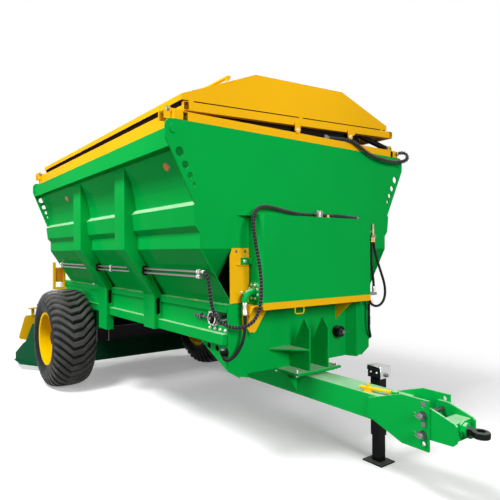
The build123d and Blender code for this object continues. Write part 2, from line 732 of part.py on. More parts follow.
# the roof seen from the front: distance from the hinge across the cover, height above its level
roof_near = 86.0
roof_far = 2270.0
roof_gap = 8.0                  # between the cover's frame and the roof's foot
roof_foot = cover_foot + cover_bar + roof_gap
eave = 102.0
ridge = 320.0
ridge_near = 671.0
ridge_far = 1721.0
roof_outline = [
    (roof_near, roof_foot), (roof_near, eave), (ridge_near, ridge), (ridge_far, ridge), (roof_far, eave),
    (roof_far, roof_foot),
]
spacers = [160.0, 1180.0, 2200.0]       # blocks on the end bars, across the cover
spacer_width = 40.0
stop_lugs = [1142.0, 1804.0]            # round lugs below the front bar, across the cover
stop_lug_radius = 22.0
with BuildPart() as cover_frame:
    for edge in (cover_near, cover_far - cover_bar_width):
        with BuildSketch(cover_plane(cover_rear)) as tube:
            with Locations((edge + cover_bar_width / 2, cover_foot + cover_bar / 2)):
                Rectangle(cover_bar_width, cover_bar)
                Rectangle(cover_bar_width - 2 * cover_bar_wall, cover_bar - 2 * cover_bar_wall, mode=Mode.SUBTRACT)
        extrude(tube.sketch, amount=cover_length)
    for x in (cover_rear, cover_front - cover_bar_width):
        with BuildSketch(cover_plane(x)) as cross:
            with Locations(((cover_near + cover_far) / 2, cover_foot + cover_bar / 2)):
                Rectangle(cover_far - cover_near - 2 * cover_bar_width, cover_bar)
            for across in spacers:
                with Locations((across, cover_foot + cover_bar + roof_gap / 2)):
                    Rectangle(spacer_width, roof_gap)
        extrude(cross.sketch, amount=cover_bar_width)
    with BuildSketch(cover_plane(cover_front - lug)) as stops:
        for across in stop_lugs:
            with Locations((across, cover_foot)):
                Circle(stop_lug_radius)
            with Locations((across, cover_foot + stop_lug_radius)):
                Rectangle(2 * stop_lug_radius, 2 * stop_lug_radius)
    extrude(stops.sketch, amount=lug)
    for back in hinges:
        with BuildSketch(cover_plane(front_x - back - hinge_width / 2 + 2)) as knuckle:
            Circle(hinge_round)
            with Locations((cover_near / 2, 4)):
                Rectangle(cover_near, 14)
            Circle(hinge_pin + run_clearance, mode=Mode.SUBTRACT)
        extrude(knuckle.sketch, amount=hinge_width - 4)
save(cover_frame, "cover_frame")

with BuildPart() as cover_roof:
    with BuildSketch(cover_plane(cover_rear)):
        sheet(roof_outline, -cover_sheet)
    extrude(amount=cover_length)
    for x in (cover_rear, cover_front - cover_sheet):
        with BuildSketch(cover_plane(x)):
            Polygon(*roof_outline, align=None)
        extrude(amount=cover_sheet)
save(cover_roof, "cover_roof")

rod_eye_near = 1478.0           # rod's pin, across the cover from the hinge
rod_eye_height = 126.0
rod_eye_radius = 24.0
bracket_foot_height = 92.0
with BuildPart() as cover_bracket:
    for x in (cylinder_x - cylinder_gap - lug - 4, cylinder_x + cylinder_gap + 4):
        with BuildSketch(cover_plane(x)) as ear:
            Polygon((rod_eye_near - 92, ridge - cover_sheet), (rod_eye_near - 27, bracket_foot_height),
                    (rod_eye_near + 28, bracket_foot_height), (rod_eye_near + 93, ridge - cover_sheet), align=None)
            with Locations((rod_eye_near, rod_eye_height)):
                Circle(cylinder_pin + 2, mode=Mode.SUBTRACT)
        extrude(ear.sketch, amount=lug)
save(cover_bracket, "cover_bracket")

bar_near = 496.0                # grab rail on the near slope
bar_foot = 275.0
bar_head = 287.0
bar_half = 15.0
bar_posts = [20.0, 1150.0, 2270.0, 3390.0]      # distance of each foot behind the front wall
with BuildPart() as cover_rail:
    with BuildSketch(cover_plane(cover_rear + 20)) as grab:
        with Locations((bar_near, (bar_foot + bar_head) / 2)):
            Rectangle(2 * bar_half, bar_head - bar_foot)
    extrude(grab.sketch, amount=front_x - 20 - cover_rear - 20)
    for back in bar_posts:
        with BuildSketch(cover_plane(front_x - back - 30)) as foot_face:
            Polygon((bar_near - 12, 230), (bar_near + 12, 230), (bar_near + 12, bar_foot + 1),
                    (bar_near - 12, bar_foot + 1), align=None)
        extrude(foot_face.sketch, amount=24)
    with BuildSketch(cover_plane(cover_rear)) as inside:
        Polygon(*roof_outline, align=None)
    extrude(inside.sketch, amount=cover_length, mode=Mode.SUBTRACT)
save(cover_rail, "cover_rail")

# ---- cover cylinder ---------------------------------------------------------------------
rod_eye = cover_plane(cylinder_x).from_local_coords(Vector(rod_eye_near, rod_eye_height, 0))
cylinder_run = rod_eye - cylinder_foot
cylinder_closed = cylinder_run.length
cylinder_plane = Plane(origin=cylinder_foot, x_dir=(1, 0, 0), z_dir=cylinder_run.normalized())
barrel_radius = 25.0
bore_radius = 20.0
rod_radius = 12.5
barrel_length = cylinder_closed - 60
piston_back = 70.0
with BuildPart() as cover_cylinder_barrel:
    with BuildSketch(cylinder_plane.offset(30)):
        Circle(barrel_radius)
    extrude(amount=barrel_length - 30)
    with BuildSketch(cylinder_plane.offset(50)):
        Circle(bore_radius)
    extrude(amount=barrel_length - 50 - 30, mode=Mode.SUBTRACT)
    with BuildSketch(cylinder_plane.offset(barrel_length - 31)):
        Circle(rod_radius + run_clearance)
    extrude(amount=32, mode=Mode.SUBTRACT)
    bar(cylinder_foot - Vector(cylinder_gap - 1, 0, 0), cylinder_foot + Vector(cylinder_gap - 1, 0, 0), 26)
    with BuildSketch(cylinder_plane.offset(20)):
        Circle(18)
    extrude(amount=14)
    bar(cylinder_foot - Vector(cylinder_gap, 0, 0), cylinder_foot + Vector(cylinder_gap, 0, 0),
        cylinder_pin + run_clearance, Mode.SUBTRACT)
save(cover_cylinder_barrel, "cover_cylinder_barrel")

with BuildPart() as cover_cylinder_rod:
    with BuildSketch(cylinder_plane.offset(piston_back)):
        Circle(rod_radius)
    extrude(amount=cylinder_closed - piston_back - 20)
    with BuildSketch(cylinder_plane.offset(piston_back)):
        Circle(bore_radius - seat)
    extrude(amount=25)
    bar(rod_eye - Vector(cylinder_gap - 2, 0, 0), rod_eye + Vector(cylinder_gap - 2, 0, 0), rod_eye_radius)
save(cover_cylinder_rod, "cover_cylinder_rod")

# ---- oil tank and front fittings --------------------------------------------------------
tank_low = 1172.0
tank_high = 1839.0
tank_right = -583.0
tank_left = 643.0
tank_depth = 140.0
with BuildPart() as oil_tank:
    block((front_x, front_x + tank_depth), (tank_right, tank_left), (tank_low + 14, tank_high))
    fillet(oil_tank.edges().filter_by(Axis.Z).sort_by(Axis.X)[-2:], 40)
    bar((front_x + 75, 67, tank_high - 1), (front_x + 75, 67, tank_high + 54), 30)
    bar((front_x + 75, 170, tank_high - 1), (front_x + 75, 170, tank_high + 26), 10)
save(oil_tank, "oil_tank")

rail_right = -565.0
rail_left = 610.0
bracket_foot = 985.0
with BuildPart() as tank_rail:
    rail_seat = tank_low + 14
    block((front_panel_x, front_x), (-panel_half + 10, panel_half - 10), (rail_seat - 8, rail_seat))
    block((front_x, front_x + tank_depth + 8), (rail_right, rail_left), (rail_seat - 8, rail_seat))
    block((front_x + tank_depth, front_x + tank_depth + 8), (rail_right, rail_left), (tank_low - 20, tank_low + 30))
    for y, back in ((-640.0, front_x), (440.0, front_panel_x)):
        plate(
            Plane.XZ.offset(-y),
            [(back, rail_seat), (front_x + tank_depth, rail_seat), (back, bracket_foot)], 8,
        )
    block((front_x, front_x + tank_depth), (-648, rail_right), (rail_seat - 8, rail_seat))
    plate(
        Plane.YZ.offset(front_x),
        [(-640, rail_seat - 8), (-640, 1062), (-586, 981), (-534, 976), (-426, 1128), (-426, rail_seat - 8)], 8,
    )
save(tank_rail, "tank_rail")

with BuildPart() as guard_box:
    plate(
        Plane.XZ.offset(730),
        [(front_x, frame_top), (front_x, waist_height - 10), (front_x - 30, waist_height - 10),
         (front_foot_x + 31, frame_top)], -145,
    )
    plate(
        Plane.XZ.offset(724),
        [(front_x - 6, frame_top + 6), (front_x - 6, waist_height - 16), (front_x - 40, waist_height - 16),
         (front_foot_x + 40, frame_top + 6)], -133, Mode.SUBTRACT,
    )
    add(front_wall.part, mode=Mode.SUBTRACT)
save(guard_box, "guard_box")

flange_x = front_x + 70.0
flange_z = 1283.0
elbow_y = -672.0
elbow_foot = 1210.0
with BuildPart() as suction_flange:
    bar((flange_x, tank_right, flange_z), (flange_x, tank_right - 14, flange_z), 66)
    bar((flange_x, tank_right - 13, flange_z), (flange_x, elbow_y, flange_z), 24)
    bar((flange_x, elbow_y, flange_z), (flange_x, elbow_y, elbow_foot), 24)
    with Locations((flange_x, elbow_y, flange_z)):
        Sphere(26)
save(suction_flange, "suction_flange")

pto_y = 440.0
pto_z = 880.0
pto_radius = 17.5               # stub that the driving shaft fits on
pto_stub = 30.0
pto_journal = 22.0              # part of the shaft that turns in the collar
pto_collar_length = 60.0
pto_journal_front = front_panel_x + pto_collar_length
with BuildPart() as pto_collar:
    bar((front_panel_x, pto_y, pto_z), (pto_journal_front, pto_y, pto_z), 48)
    bar((front_panel_x - 1, pto_y, pto_z), (pto_journal_front + 1, pto_y, pto_z), pto_journal + run_clearance,
        Mode.SUBTRACT)
save(pto_collar, "pto_collar")

with BuildPart() as pto_shaft:
    bar((front_panel_x + 4, pto_y, pto_z), (pto_journal_front, pto_y, pto_z), pto_journal)
    bar((pto_journal_front, pto_y, pto_z), (pto_journal_front + pto_stub, pto_y, pto_z), pto_radius)
save(pto_shaft, "pto_shaft")

pipe_front = front_x - 100.0
pipe_rear = front_x - 3400.0

# where hoses end on fixed fittings
tee_x = front_x + 100.0
tee_y = tank_left + 57
tee_foot = 1690.0
manifold_foot = 1190.0
sleeve_foot = 1120.0
supply_end = Vector(front_x + 22, 570, 1858)
suction_end = Vector(front_x - 24, -frame_half - 30, 852)
motor_end = Vector(front_x - 46, frame_half + 30, 798)
cover_hose_start = 262.0
cover_hose_end = Vector(front_x + 14, 1172, 2485)
with BuildPart() as side_pipes:
    for height in pipe_heights:
        bar((pipe_rear, -pipe_half, height), (pipe_front, -pipe_half, height), pipe_radius)
        for back in (0.0, 1650.0):
            x = pipe_front - back
            bar((x - 50, -pipe_half, height), (x, -pipe_half, height), 14)
    # suction hose: sleeve below the tank's elbow, and elbow on the frame's right side plate
    bar((flange_x, elbow_y, sleeve_foot), (flange_x, elbow_y, elbow_foot), 18)
    bar((suction_end.X, -frame_half, suction_end.Z + 20), (suction_end.X, suction_end.Y, suction_end.Z + 20), 10)
    bar(suction_end, suction_end + Vector(0, 0, 32), 14)
    # supply hose: elbow on top of the tank
    bar(supply_end, supply_end + Vector(0, 30, 0), 14)
    bar((supply_end.X, supply_end.Y + 20, tank_high), (supply_end.X, supply_end.Y + 20, supply_end.Z), 12)
    # left of the tank: tee above, manifold below
    bar((tee_x, tee_y, tee_foot + 20), (tee_x, tee_y, tee_foot + 115), 12)
    block((tee_x - 14, tee_x + 14), (tee_y - 29, tee_y + 29), (tee_foot, tee_foot + 22))
    bar((tee_x, tank_left, tee_foot + 50), (tee_x, tee_y, tee_foot + 50), 9)
    block((front_x + 35, front_x + 115), (tank_left, tank_left + 92), (manifold_foot, manifold_foot + 25))
    # motor hose: elbow on the frame's left side plate
    bar(motor_end, motor_end - Vector(32, 0, 0), 14)
    bar((motor_end.X - 18, frame_half, motor_end.Z), (motor_end.X - 18, motor_end.Y, motor_end.Z), 9)
    # cover hose: union on the hopper's front rim, and union on the rim's left end
    block((front_x - 35, front_x - 5), (cover_hose_start - 40, cover_hose_start), (base_top, base_top + 30))
    bar((front_x, cover_hose_end.Y, cover_hose_end.Z), cover_hose_end, 13)
save(side_pipes, "side_pipes")

# free hoses, each by the points that it bends at
hose(
    [(pipe_front, -pipe_half, pipe_heights[0]), (pipe_front + 30, -pipe_half, pipe_heights[0]), (pipe_front + 59, -934, 1419),
     (pipe_front + 79, -933, 1397), (pipe_front + 91, -930, 1368), (pipe_front + 96, -927, 1330),
     (pipe_front + 98, -920, 1270), (front_x - 1, -910, 1195), (front_x + 14, -886, 1120), (front_x + 36, -844, 1066),
     (front_x + 68, -784, 1040), (front_x + 108, -720, 1038), (front_x + 150, -664, 1075), (front_x + 178, -632, 1150),
     (front_x + 188, -618, 1250), (front_x + 186, -616, 1370), (front_x + 176, -626, 1490),
     (front_x + 164, -642, 1600), (front_x + 152, -653, 1705), (front_x + 130, -642, 1800),
     (front_x + 98, -592, 1872), (front_x + 68, -505, 1903), (front_x + 42, -400, 1902), (front_x + 28, -280, 1886),
     (front_x + 22, -155, 1868), (front_x + 20, -20, 1862), (front_x + 21, 120, 1860), (front_x + 25, 260, 1866),
     (front_x + 26, 390, 1866), supply_end - Vector(0, 66, 0), supply_end],
    11, "hose_supply",
)
hose(
    [(tee_x, tee_y + 14, tee_foot), (tee_x, tee_y + 14, 1640), (tee_x, tee_y + 32, 1565), (tee_x - 1, tee_y + 70, 1475),
     (tee_x - 3, tee_y + 122, 1375), (tee_x - 6, tee_y + 166, 1290), (tee_x - 10, tee_y + 186, 1212),
     (tee_x - 13, tee_y + 176, 1146), (tee_x - 15, tee_y + 138, 1103), (tee_x - 16, tee_y + 88, 1086),
     (tee_x - 17, tee_y + 38, 1091), (tee_x - 17, tee_y - 6, 1114), (tee_x - 15, tee_y - 30, 1153),
     (tee_x - 15, tee_y - 30, manifold_foot)],
    11, "hose_loop",
)
hose(
    [(tee_x, tee_y - 14, tee_foot), (tee_x, tee_y - 14, 1630), (tee_x, tee_y - 17, 1540), (tee_x, tee_y - 14, 1440),
     (tee_x, tee_y + 2, 1350), (tee_x, tee_y + 12, 1285), (tee_x, tee_y + 12, manifold_foot + 25)],
    11, "hose_drop",
)
hose(
    [(flange_x, elbow_y, sleeve_foot), (flange_x, elbow_y, 1066), (front_x + 68, -674, 1004),
     (front_x + 63, -684, 942), (front_x + 53, -706, 884), (front_x + 40, -735, 838), (front_x + 25, -764, 811),
     (front_x + 7, -788, 801), (front_x - 12, -800, 808), (suction_end.X, suction_end.Y, 827), suction_end],
    12, "hose_suction",
)
hose(
    [(front_x + 50, tee_y + 10, manifold_foot), (front_x + 50, tee_y + 10, 1140), (front_x + 52, 708, 1080),
     (front_x + 52, 706, 1012), (front_x + 49, 708, 948), (front_x + 42, 720, 890), (front_x + 32, 744, 842),
     (front_x + 14, 776, 812), motor_end + Vector(34, 0, 0), motor_end],
    11, "hose_motor",
)
hose(
    [(front_x - 20, cover_hose_start, 2526), (front_x - 20, 330, 2526), (front_x - 10, 420, 2527),
     (front_x + 14, 510, 2526), (front_x + 27, 592, 2498), (front_x + 33, 680, 2453), (front_x + 40, 775, 2418),
     (front_x + 48, 875, 2399), (front_x + 56, 975, 2391), (front_x + 64, 1070, 2391), (front_x + 72, 1150, 2398),
     (front_x + 78, 1207, 2413), (front_x + 80, 1242, 2439), (front_x + 74, 1249, 2467), (front_x + 62, 1233, 2487),
     (front_x + 50, 1208, 2493), (front_x + 42, 1187, 2491), cover_hose_end + Vector(18, 0, 0), cover_hose_end],
    10, "hose_cover",
)

with BuildPart() as pipe_grommets:
    for back, front, foot in posts:
        for height in pipe_heights:
            bar((front_x - back - 4, -pipe_half, height), (front_x - front + 4, -pipe_half, height), grommet_radius)
    for height in pipe_heights:
        bar((pipe_rear, -pipe_half, height), (pipe_front, -pipe_half, height), pipe_radius, Mode.SUBTRACT)
    add(envelope.part, mode=Mode.SUBTRACT)
save(pipe_grommets, "pipe_grommets")

# ---- spreading unit ---------------------------------------------------------------------
spreader_front = front_x - 3720.0
disc_x = front_x - 4170.0
disc_y = 370.0
disc_radius = 330.0
disc_height = 450.0
vane_height = 50.0
gearbox_foot = 300.0
with BuildPart() as spreader_frame:
    plate(
        Plane.XZ.offset(-frame_half),
        [(spreader_front, frame_foot), (frame_rear, frame_foot), (frame_rear, 600), (disc_x - 60, 420),
         (disc_x - 60, gearbox_foot - 10), (spreader_front, gearbox_foot - 10)], 8,
    )
    mirror(about=Plane.XZ)
    block((disc_x - 40, disc_x + 40), (-frame_half, frame_half), (gearbox_foot, gearbox_foot + 70))
    block((disc_x - 34, disc_x + 34), (-frame_half, frame_half), (gearbox_foot + 6, gearbox_foot + 64), Mode.SUBTRACT)
save(spreader_frame, "spreader_frame")

with BuildPart() as spinner_gearboxes:
    for y in (-disc_y, disc_y):
        block((disc_x - 80, disc_x + 80), (y - 80, y + 80), (gearbox_foot + 70, disc_height - 25))
        bar((disc_x, y, disc_height - 26), (disc_x, y, disc_height + 20), 20)
save(spinner_gearboxes, "spinner_gearboxes")

with BuildPart() as spinner_left:
    with Locations((disc_x, disc_y, disc_height)):
        Cylinder(disc_radius, 6)
        Cylinder(70, 40)
    for turn in range(4):
        with Locations(Location((disc_x, disc_y, disc_height), (0, 0, 1), 45 + 90 * turn)):
            with Locations(((70 + disc_radius) / 2 + 10, 0, 3 + vane_height / 2)):
                Box(disc_radius - 70, 8, vane_height)
    with Locations((disc_x, disc_y, disc_height - 25)):
        Cylinder(90, 10, mode=Mode.SUBTRACT)
    bar((disc_x, disc_y, disc_height - 40), (disc_x, disc_y, disc_height + 20.3), 20 + run_clearance, Mode.SUBTRACT)
save(spinner_left, "spinner_left")

with BuildPart() as spinner_right:
    mirror(spinner_left.part, about=Plane.XZ)
save(spinner_right, "spinner_right")

hood_foot = 120.0
hood_top = 620.0
hood_half = 1080.0
hood_rear = front_x - rear_reach
with BuildPart() as spreading_hood:
    with BuildSketch(Plane.XY.offset(hood_foot)):
        sheet(
            [(hood_rear, -1258), (front_x - 4250, -1225), (spreader_front + 6, -hood_half),
             (spreader_front + 6, hood_half), (front_x - 4250, 1225), (hood_rear, 1258)],
            6,
        )
    extrude(amount=hood_top - hood_foot)
    for side in (1, -1):
        plate(
            Plane.XZ.offset(side * 1000),
            [(hood_rear - 1, hood_top + 1), (hood_rear - 1, hood_foot + 40), (front_x - 4170, hood_top - 250),
             (front_x - 4000, hood_top + 1)], side * 400, Mode.SUBTRACT,
        )
save(spreading_hood, "spreading_hood")

flap_x = front_x - 4200.0
with BuildPart() as hood_flaps:
    with BuildSketch(Plane.YZ.offset(flap_x)):
        with Locations((1100, 560)):
            RectangleRounded(300, 300, 60)
    extrude(amount=6)
    block((flap_x, flap_x + 6), (990, 1050), (640, 860))
    block((flap_x, flap_x + 6), (frame_half, 1050), (820, 860))
    block((flap_x, frame_rear + 60), (frame_half, frame_half + 6), (820, 860))
    mirror(about=Plane.XZ)
save(hood_flaps, "hood_flaps")

strut_x = front_x - 3800.0
with BuildPart() as rear_struts:
    for inner, outer in ((frame_half + 12, frame_half + 42), (910.0, 940.0)):
        block((strut_x - 20, strut_x + 20), (inner, outer), (1080, 1440))
    block((strut_x - 20, strut_x + 20), (frame_half, 940), (1080, 1110))
    block((strut_x - 6, strut_x + 6), (frame_half + 30, 920), (1180, 1370))
    mirror(about=Plane.XZ)
save(rear_struts, "rear_struts")
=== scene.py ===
"""Looks of the towed hopper spreader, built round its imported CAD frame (metres)."""

import json
import random
from math import cos, pi, radians, sin

import bmesh
import bpy
from mathutils import Matrix, Vector


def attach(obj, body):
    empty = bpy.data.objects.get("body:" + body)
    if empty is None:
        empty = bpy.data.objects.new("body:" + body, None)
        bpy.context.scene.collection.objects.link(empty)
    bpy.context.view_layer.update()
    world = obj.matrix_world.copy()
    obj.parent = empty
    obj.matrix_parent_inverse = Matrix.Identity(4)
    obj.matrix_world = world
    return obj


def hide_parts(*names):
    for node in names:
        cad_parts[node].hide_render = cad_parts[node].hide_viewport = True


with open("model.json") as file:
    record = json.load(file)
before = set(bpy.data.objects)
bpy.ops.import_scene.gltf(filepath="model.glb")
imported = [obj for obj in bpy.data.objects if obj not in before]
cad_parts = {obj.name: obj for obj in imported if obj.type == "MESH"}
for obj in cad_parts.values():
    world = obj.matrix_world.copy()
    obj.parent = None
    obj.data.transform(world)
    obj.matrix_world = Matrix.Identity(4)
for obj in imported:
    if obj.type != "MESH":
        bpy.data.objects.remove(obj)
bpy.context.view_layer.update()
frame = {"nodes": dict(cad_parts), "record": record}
NODES = frame["nodes"]
rng = random.Random(7)

FRONT = 1.55                    # front wall of the hopper
HINGE = (-1.222, 2.524)         # cover's hinge: across the machine, height
COVER_REST = radians(2.7)
AXLE = (FRONT - 3.04, 0.567)    # along the machine, height
WHEEL_MIDDLE = 1.024
FRAME_SIDE = 0.77              # outer face of the frame's sides
SHAFT = (-0.17, 1.082)          # conveyor's front shaft: from the front wall, height
PIPE_ACROSS = 0.9353            # side pipes: across the machine, and their heights
PIPE_ROWS = (1.43, 1.396)
TANK_TOP = 1.8392
TOWING_HEIGHT = 0.527
HITCH_PINS = (1.11, (0.585, 0.469))     # from the front wall, and their heights
JACK = (0.5, 0.25)              # from the front wall, across the machine


def at(x, y, z):
    """A point whose first measure counts from the front wall."""
    return FRONT + x, y, z


# ---- materials --------------------------------------------------------------------------
class Nodes:
    """A material's node tree with short calls for the nodes used here."""

    def __init__(self, name):
        self.material = bpy.data.materials.new(name)
        self.material.use_nodes = True
        self.tree = self.material.node_tree
        self.shader = self.tree.nodes["Principled BSDF"]
        self.place = self.add("ShaderNodeTexCoord").outputs["Object"]

    def add(self, kind, **settings):
        node = self.tree.nodes.new(kind)
        for key, value in settings.items():
            setattr(node, key, value)
        return node

    def link(self, output, to):
        self.tree.links.new(output, to)

    def set(self, node, **values):
        for key, value in values.items():
            node.inputs[key.replace("_", " ")].default_value = value

    def noise(self, scale, detail=3.0, roughness=0.5, stretch=None):
        node = self.add("ShaderNodeTexNoise")
        self.set(node, Scale=scale, Detail=detail, Roughness=roughness)
        place = self.place
        if stretch:
            mapping = self.add("ShaderNodeMapping")
            self.set(mapping, Scale=stretch)
            self.link(place, mapping.inputs["Vector"])
            place = mapping.outputs["Vector"]
        self.link(place, node.inputs["Vector"])
        return node.outputs["Fac"]

    def ramp(self, value, stops):
        node = self.add("ShaderNodeValToRGB")
        ramp = node.color_ramp
        while len(ramp.elements) < len(stops):
            ramp.elements.new(0.5)
        for element, (position, colour) in zip(ramp.elements, stops):
            element.position = position
            element.color = (*colour, 1) if len(colour) == 3 else colour
        self.link(value, node.inputs["Fac"])
        return node.outputs["Color"]

    def bump(self, height, distance, strength=1.0, after=None):
        node = self.add("ShaderNodeBump")
        self.set(node, Distance=distance, Strength=strength)
        self.link(height, node.inputs["Height"])
        if after:
            self.link(after, node.inputs["Normal"])
        return node.outputs["Normal"]

    def rough(self, value, low, high):
        """Roughness by two stops, each a place and its level."""
        stops = [(place, (level,) * 3) for place, level in (low, high)]
        self.link(self.ramp(value, stops), self.shader.inputs["Roughness"])

    def finish(self, **values):
        self.set(self.shader, **values)
        return self.material


def shade(colour, factor):
    return tuple(min(1.0, c * factor) for c in colour)


def painted_sheened(t, tone, amount):
    """Painted sky reflection: a pale green mixed into the faces that look up, within about 50 degrees of level."""
    split = t.add("ShaderNodeSeparateXYZ")
    t.link(t.add("ShaderNodeNewGeometry").outputs["Normal"], split.inputs["Vector"])
    level = t.add("ShaderNodeMapRange", interpolation_type="SMOOTHSTEP")
    t.set(level, From_Min=SHEEN_STARTS, From_Max=SHEEN_WHOLE, To_Max=amount)
    t.link(split.outputs["Z"], level.inputs["Value"])
    sheen_tone = t.ramp(t.noise(5, 4), [(0.3, (0.5, 0.68, 0.49)), (0.7, (0.7, 0.83, 0.68))])
    mix = t.add("ShaderNodeMix", data_type="RGBA")
    t.link(level.outputs["Result"], mix.inputs["Factor"])
    t.link(tone, mix.inputs[6])
    t.link(sheen_tone, mix.inputs[7])
    return mix.outputs[2]


def enamel(name, colour, roughness=0.3, coat=0.06, painted_sheen=0.0):
    """Sprayed paint: slow changes of tone and a faint orange peel, with a painted sky reflection on upward faces if
    asked.
    """
    t = Nodes(name)
    tone = t.ramp(t.noise(0.9, 4), [(0.3, shade(colour, 0.93)), (0.5, colour), (0.72, shade(colour, 1.05))])
    # painted reflection: faces that look up turn pale as though they mirrored the sky
    if painted_sheen:
        tone = painted_sheened(t, tone, painted_sheen)
    t.link(tone, t.shader.inputs["Base Color"])
    t.rough(t.noise(6, 5), (0.35, roughness - 0.04), (0.7, roughness + 0.08))
    peel = t.bump(t.noise(240, 2), 0.0006, 0.25)
    t.link(t.bump(t.noise(3.2, 2), 0.004, 0.22, peel), t.shader.inputs["Normal"])
    return t.finish(Specular_IOR_Level=0.0, Coat_Weight=coat, Coat_Roughness=0.16)


def metal(name, colour, roughness, grain=(1, 30, 30)):
    """Bright metal with fine draw marks along one axis."""
    t = Nodes(name)
    marks = t.noise(18, 4, 0.6, grain)
    t.link(t.ramp(marks, [(0.3, shade(colour, 0.82)), (0.7, colour)]), t.shader.inputs["Base Color"])
    t.rough(marks, (0.3, roughness + 0.12), (0.7, roughness))
    t.link(t.bump(marks, 0.0004, 0.3), t.shader.inputs["Normal"])
    return t.finish(Metallic=1.0)


def rubber(name, colour, roughness=0.55, grain=160, distance=0.0006):
    t = Nodes(name)
    t.link(t.ramp(t.noise(7, 5), [(0.35, shade(colour, 0.8)), (0.75, shade(colour, 1.35))]),
           t.shader.inputs["Base Color"])
    t.rough(t.noise(12, 4), (0.3, roughness - 0.08), (0.7, roughness + 0.1))
    t.link(t.bump(t.noise(grain, 3), distance, 0.5), t.shader.inputs["Normal"])
    return t.finish(Specular_IOR_Level=0.1)


def lens(name, colour):
    """Moulded reflector: fine prisms under a clear skin."""
    t = Nodes(name)
    cells = t.add("ShaderNodeTexVoronoi")
    t.set(cells, Scale=320)
    t.link(t.place, cells.inputs["Vector"])
    t.link(t.ramp(cells.outputs["Distance"], [(0.0, shade(colour, 0.75)), (0.6, colour)]),
           t.shader.inputs["Base Color"])
    t.link(t.bump(cells.outputs["Distance"], 0.0006, 0.5), t.shader.inputs["Normal"])
    return t.finish(Roughness=0.25, Specular_IOR_Level=0.05, Coat_Weight=0.05, Coat_Roughness=0.05)


def seen_plainly(tree):
    """1 for the camera's rays, reflections and glass, 0 for the rays that light the object."""
    rays = tree.nodes.new("ShaderNodeLightPath")
    shiny, seen = (tree.nodes.new("ShaderNodeMath") for _ in range(2))
    shiny.operation = seen.operation = "MAXIMUM"
    tree.links.new(rays.outputs["Is Glossy Ray"], shiny.inputs[0])
    tree.links.new(rays.outputs["Is Transmission Ray"], shiny.inputs[1])
    tree.links.new(rays.outputs["Is Camera Ray"], seen.inputs[0])
    tree.links.new(shiny.outputs["Value"], seen.inputs[1])
    return seen.outputs["Value"]


def floor_paint(name, colour):
    """Pale floor that runs out to white away from the machine and keeps its shadow near it."""
    t = Nodes(name)
    t.link(t.ramp(t.noise(0.6), [(0.3, shade(colour, 0.985)), (0.7, colour)]), t.shader.inputs["Base Color"])
    lift = t.add("ShaderNodeEmission")
    t.set(lift, Strength=FLOOR_LIFT)
    lit = t.add("ShaderNodeAddShader")
    t.link(t.shader.outputs["BSDF"], lit.inputs[0])
    t.link(lift.outputs["Emission"], lit.inputs[1])
    white = t.add("ShaderNodeEmission")
    t.set(white, Strength=1.0)
    length = t.add("ShaderNodeVectorMath", operation="LENGTH")
    stretch = t.add("ShaderNodeMapping")
    t.set(stretch, Scale=(0.72, 1.0, 1.0))
    t.link(t.place, stretch.inputs["Vector"])
    t.link(stretch.outputs["Vector"], length.inputs[0])
    reach = t.add("ShaderNodeMapRange", interpolation_type="SMOOTHSTEP")
    t.set(reach, From_Min=FLOOR_WHITENS, From_Max=FLOOR_WHITE)
    t.link(length.outputs["Value"], reach.inputs["Value"])
    far = t.add("ShaderNodeMixShader")
    t.link(reach.outputs["Result"], far.inputs["Fac"])
    t.link(lit.outputs["Shader"], far.inputs[1])
    t.link(white.outputs["Emission"], far.inputs[2])
    dull = t.add("ShaderNodeBsdfDiffuse")
    t.set(dull, Color=(0.1, 0.1, 0.1, 1))
    pick = t.add("ShaderNodeMixShader")
    t.link(seen_plainly(t.tree), pick.inputs["Fac"])
    t.link(dull.outputs["BSDF"], pick.inputs[1])
    t.link(far.outputs["Shader"], pick.inputs[2])
    t.link(pick.outputs["Shader"], t.tree.nodes["Material Output"].inputs["Surface"])
    return t.finish(Roughness=0.9, Specular_IOR_Level=0.0)


# painted sky reflection on upward faces: where it starts and where it is whole
SHEEN_STARTS, SHEEN_WHOLE = 0.6, 0.72        # how far up a face looks: its normal's height
FLOOR_LIFT = 0.25
FLOOR_WHITENS, FLOOR_WHITE = 2.2, 5.0       # distance from the middle, in metres
# green_enamel and black_enamel (its last number) carry a painted sky reflection on their upward faces
GREEN = enamel("green_enamel", (0.0015, 0.4, 0.06), painted_sheen=0.5)
YELLOW = enamel("yellow_enamel", (0.95, 0.5, 0.008))
RIM_YELLOW = enamel("rim_yellow_enamel", (0.95, 0.62, 0.0))
HOOD_GREEN = enamel("hood_enamel", (0.008, 0.11, 0.045), 0.45, 0.05)
# painted shade: a near-black for slot backs, gaps, holes and fillers that stand in for shade
SHADOW_GREY = enamel("painted_shade_enamel", (0.012, 0.011, 0.011), 0.6, 0.0)
BLACK = enamel("black_enamel", (0.008, 0.008, 0.009), 0.34, 0.15, 0.1)
STEEL = metal("bright_steel", (0.62, 0.62, 0.63), 0.3)
PIPE = metal("pipe_steel", (0.27, 0.265, 0.25), 0.34)
ZINC = metal("zinc", (0.72, 0.69, 0.64), 0.34, (6, 6, 6))
DARK_STEEL = metal("oiled_steel", (0.16, 0.16, 0.17), 0.42)
CHROME = metal("chrome", (0.86, 0.86, 0.87), 0.08)
BRASS = metal("brass", (0.78, 0.5, 0.2), 0.25)
TYRE = rubber("tyre_rubber", (0.007, 0.0075, 0.008), 0.5, 90, 0.001)
TREAD = rubber("tread_rubber", (0.075, 0.073, 0.07), 0.55, 70, 0.0015)
HOSE = rubber("hose_rubber", (0.014, 0.014, 0.015), 0.42)
GUARD = rubber("guard_plastic", (0.1, 0.1, 0.104), 0.28)
AMBER = lens("amber_lens", (0.9, 0.27, 0.02))

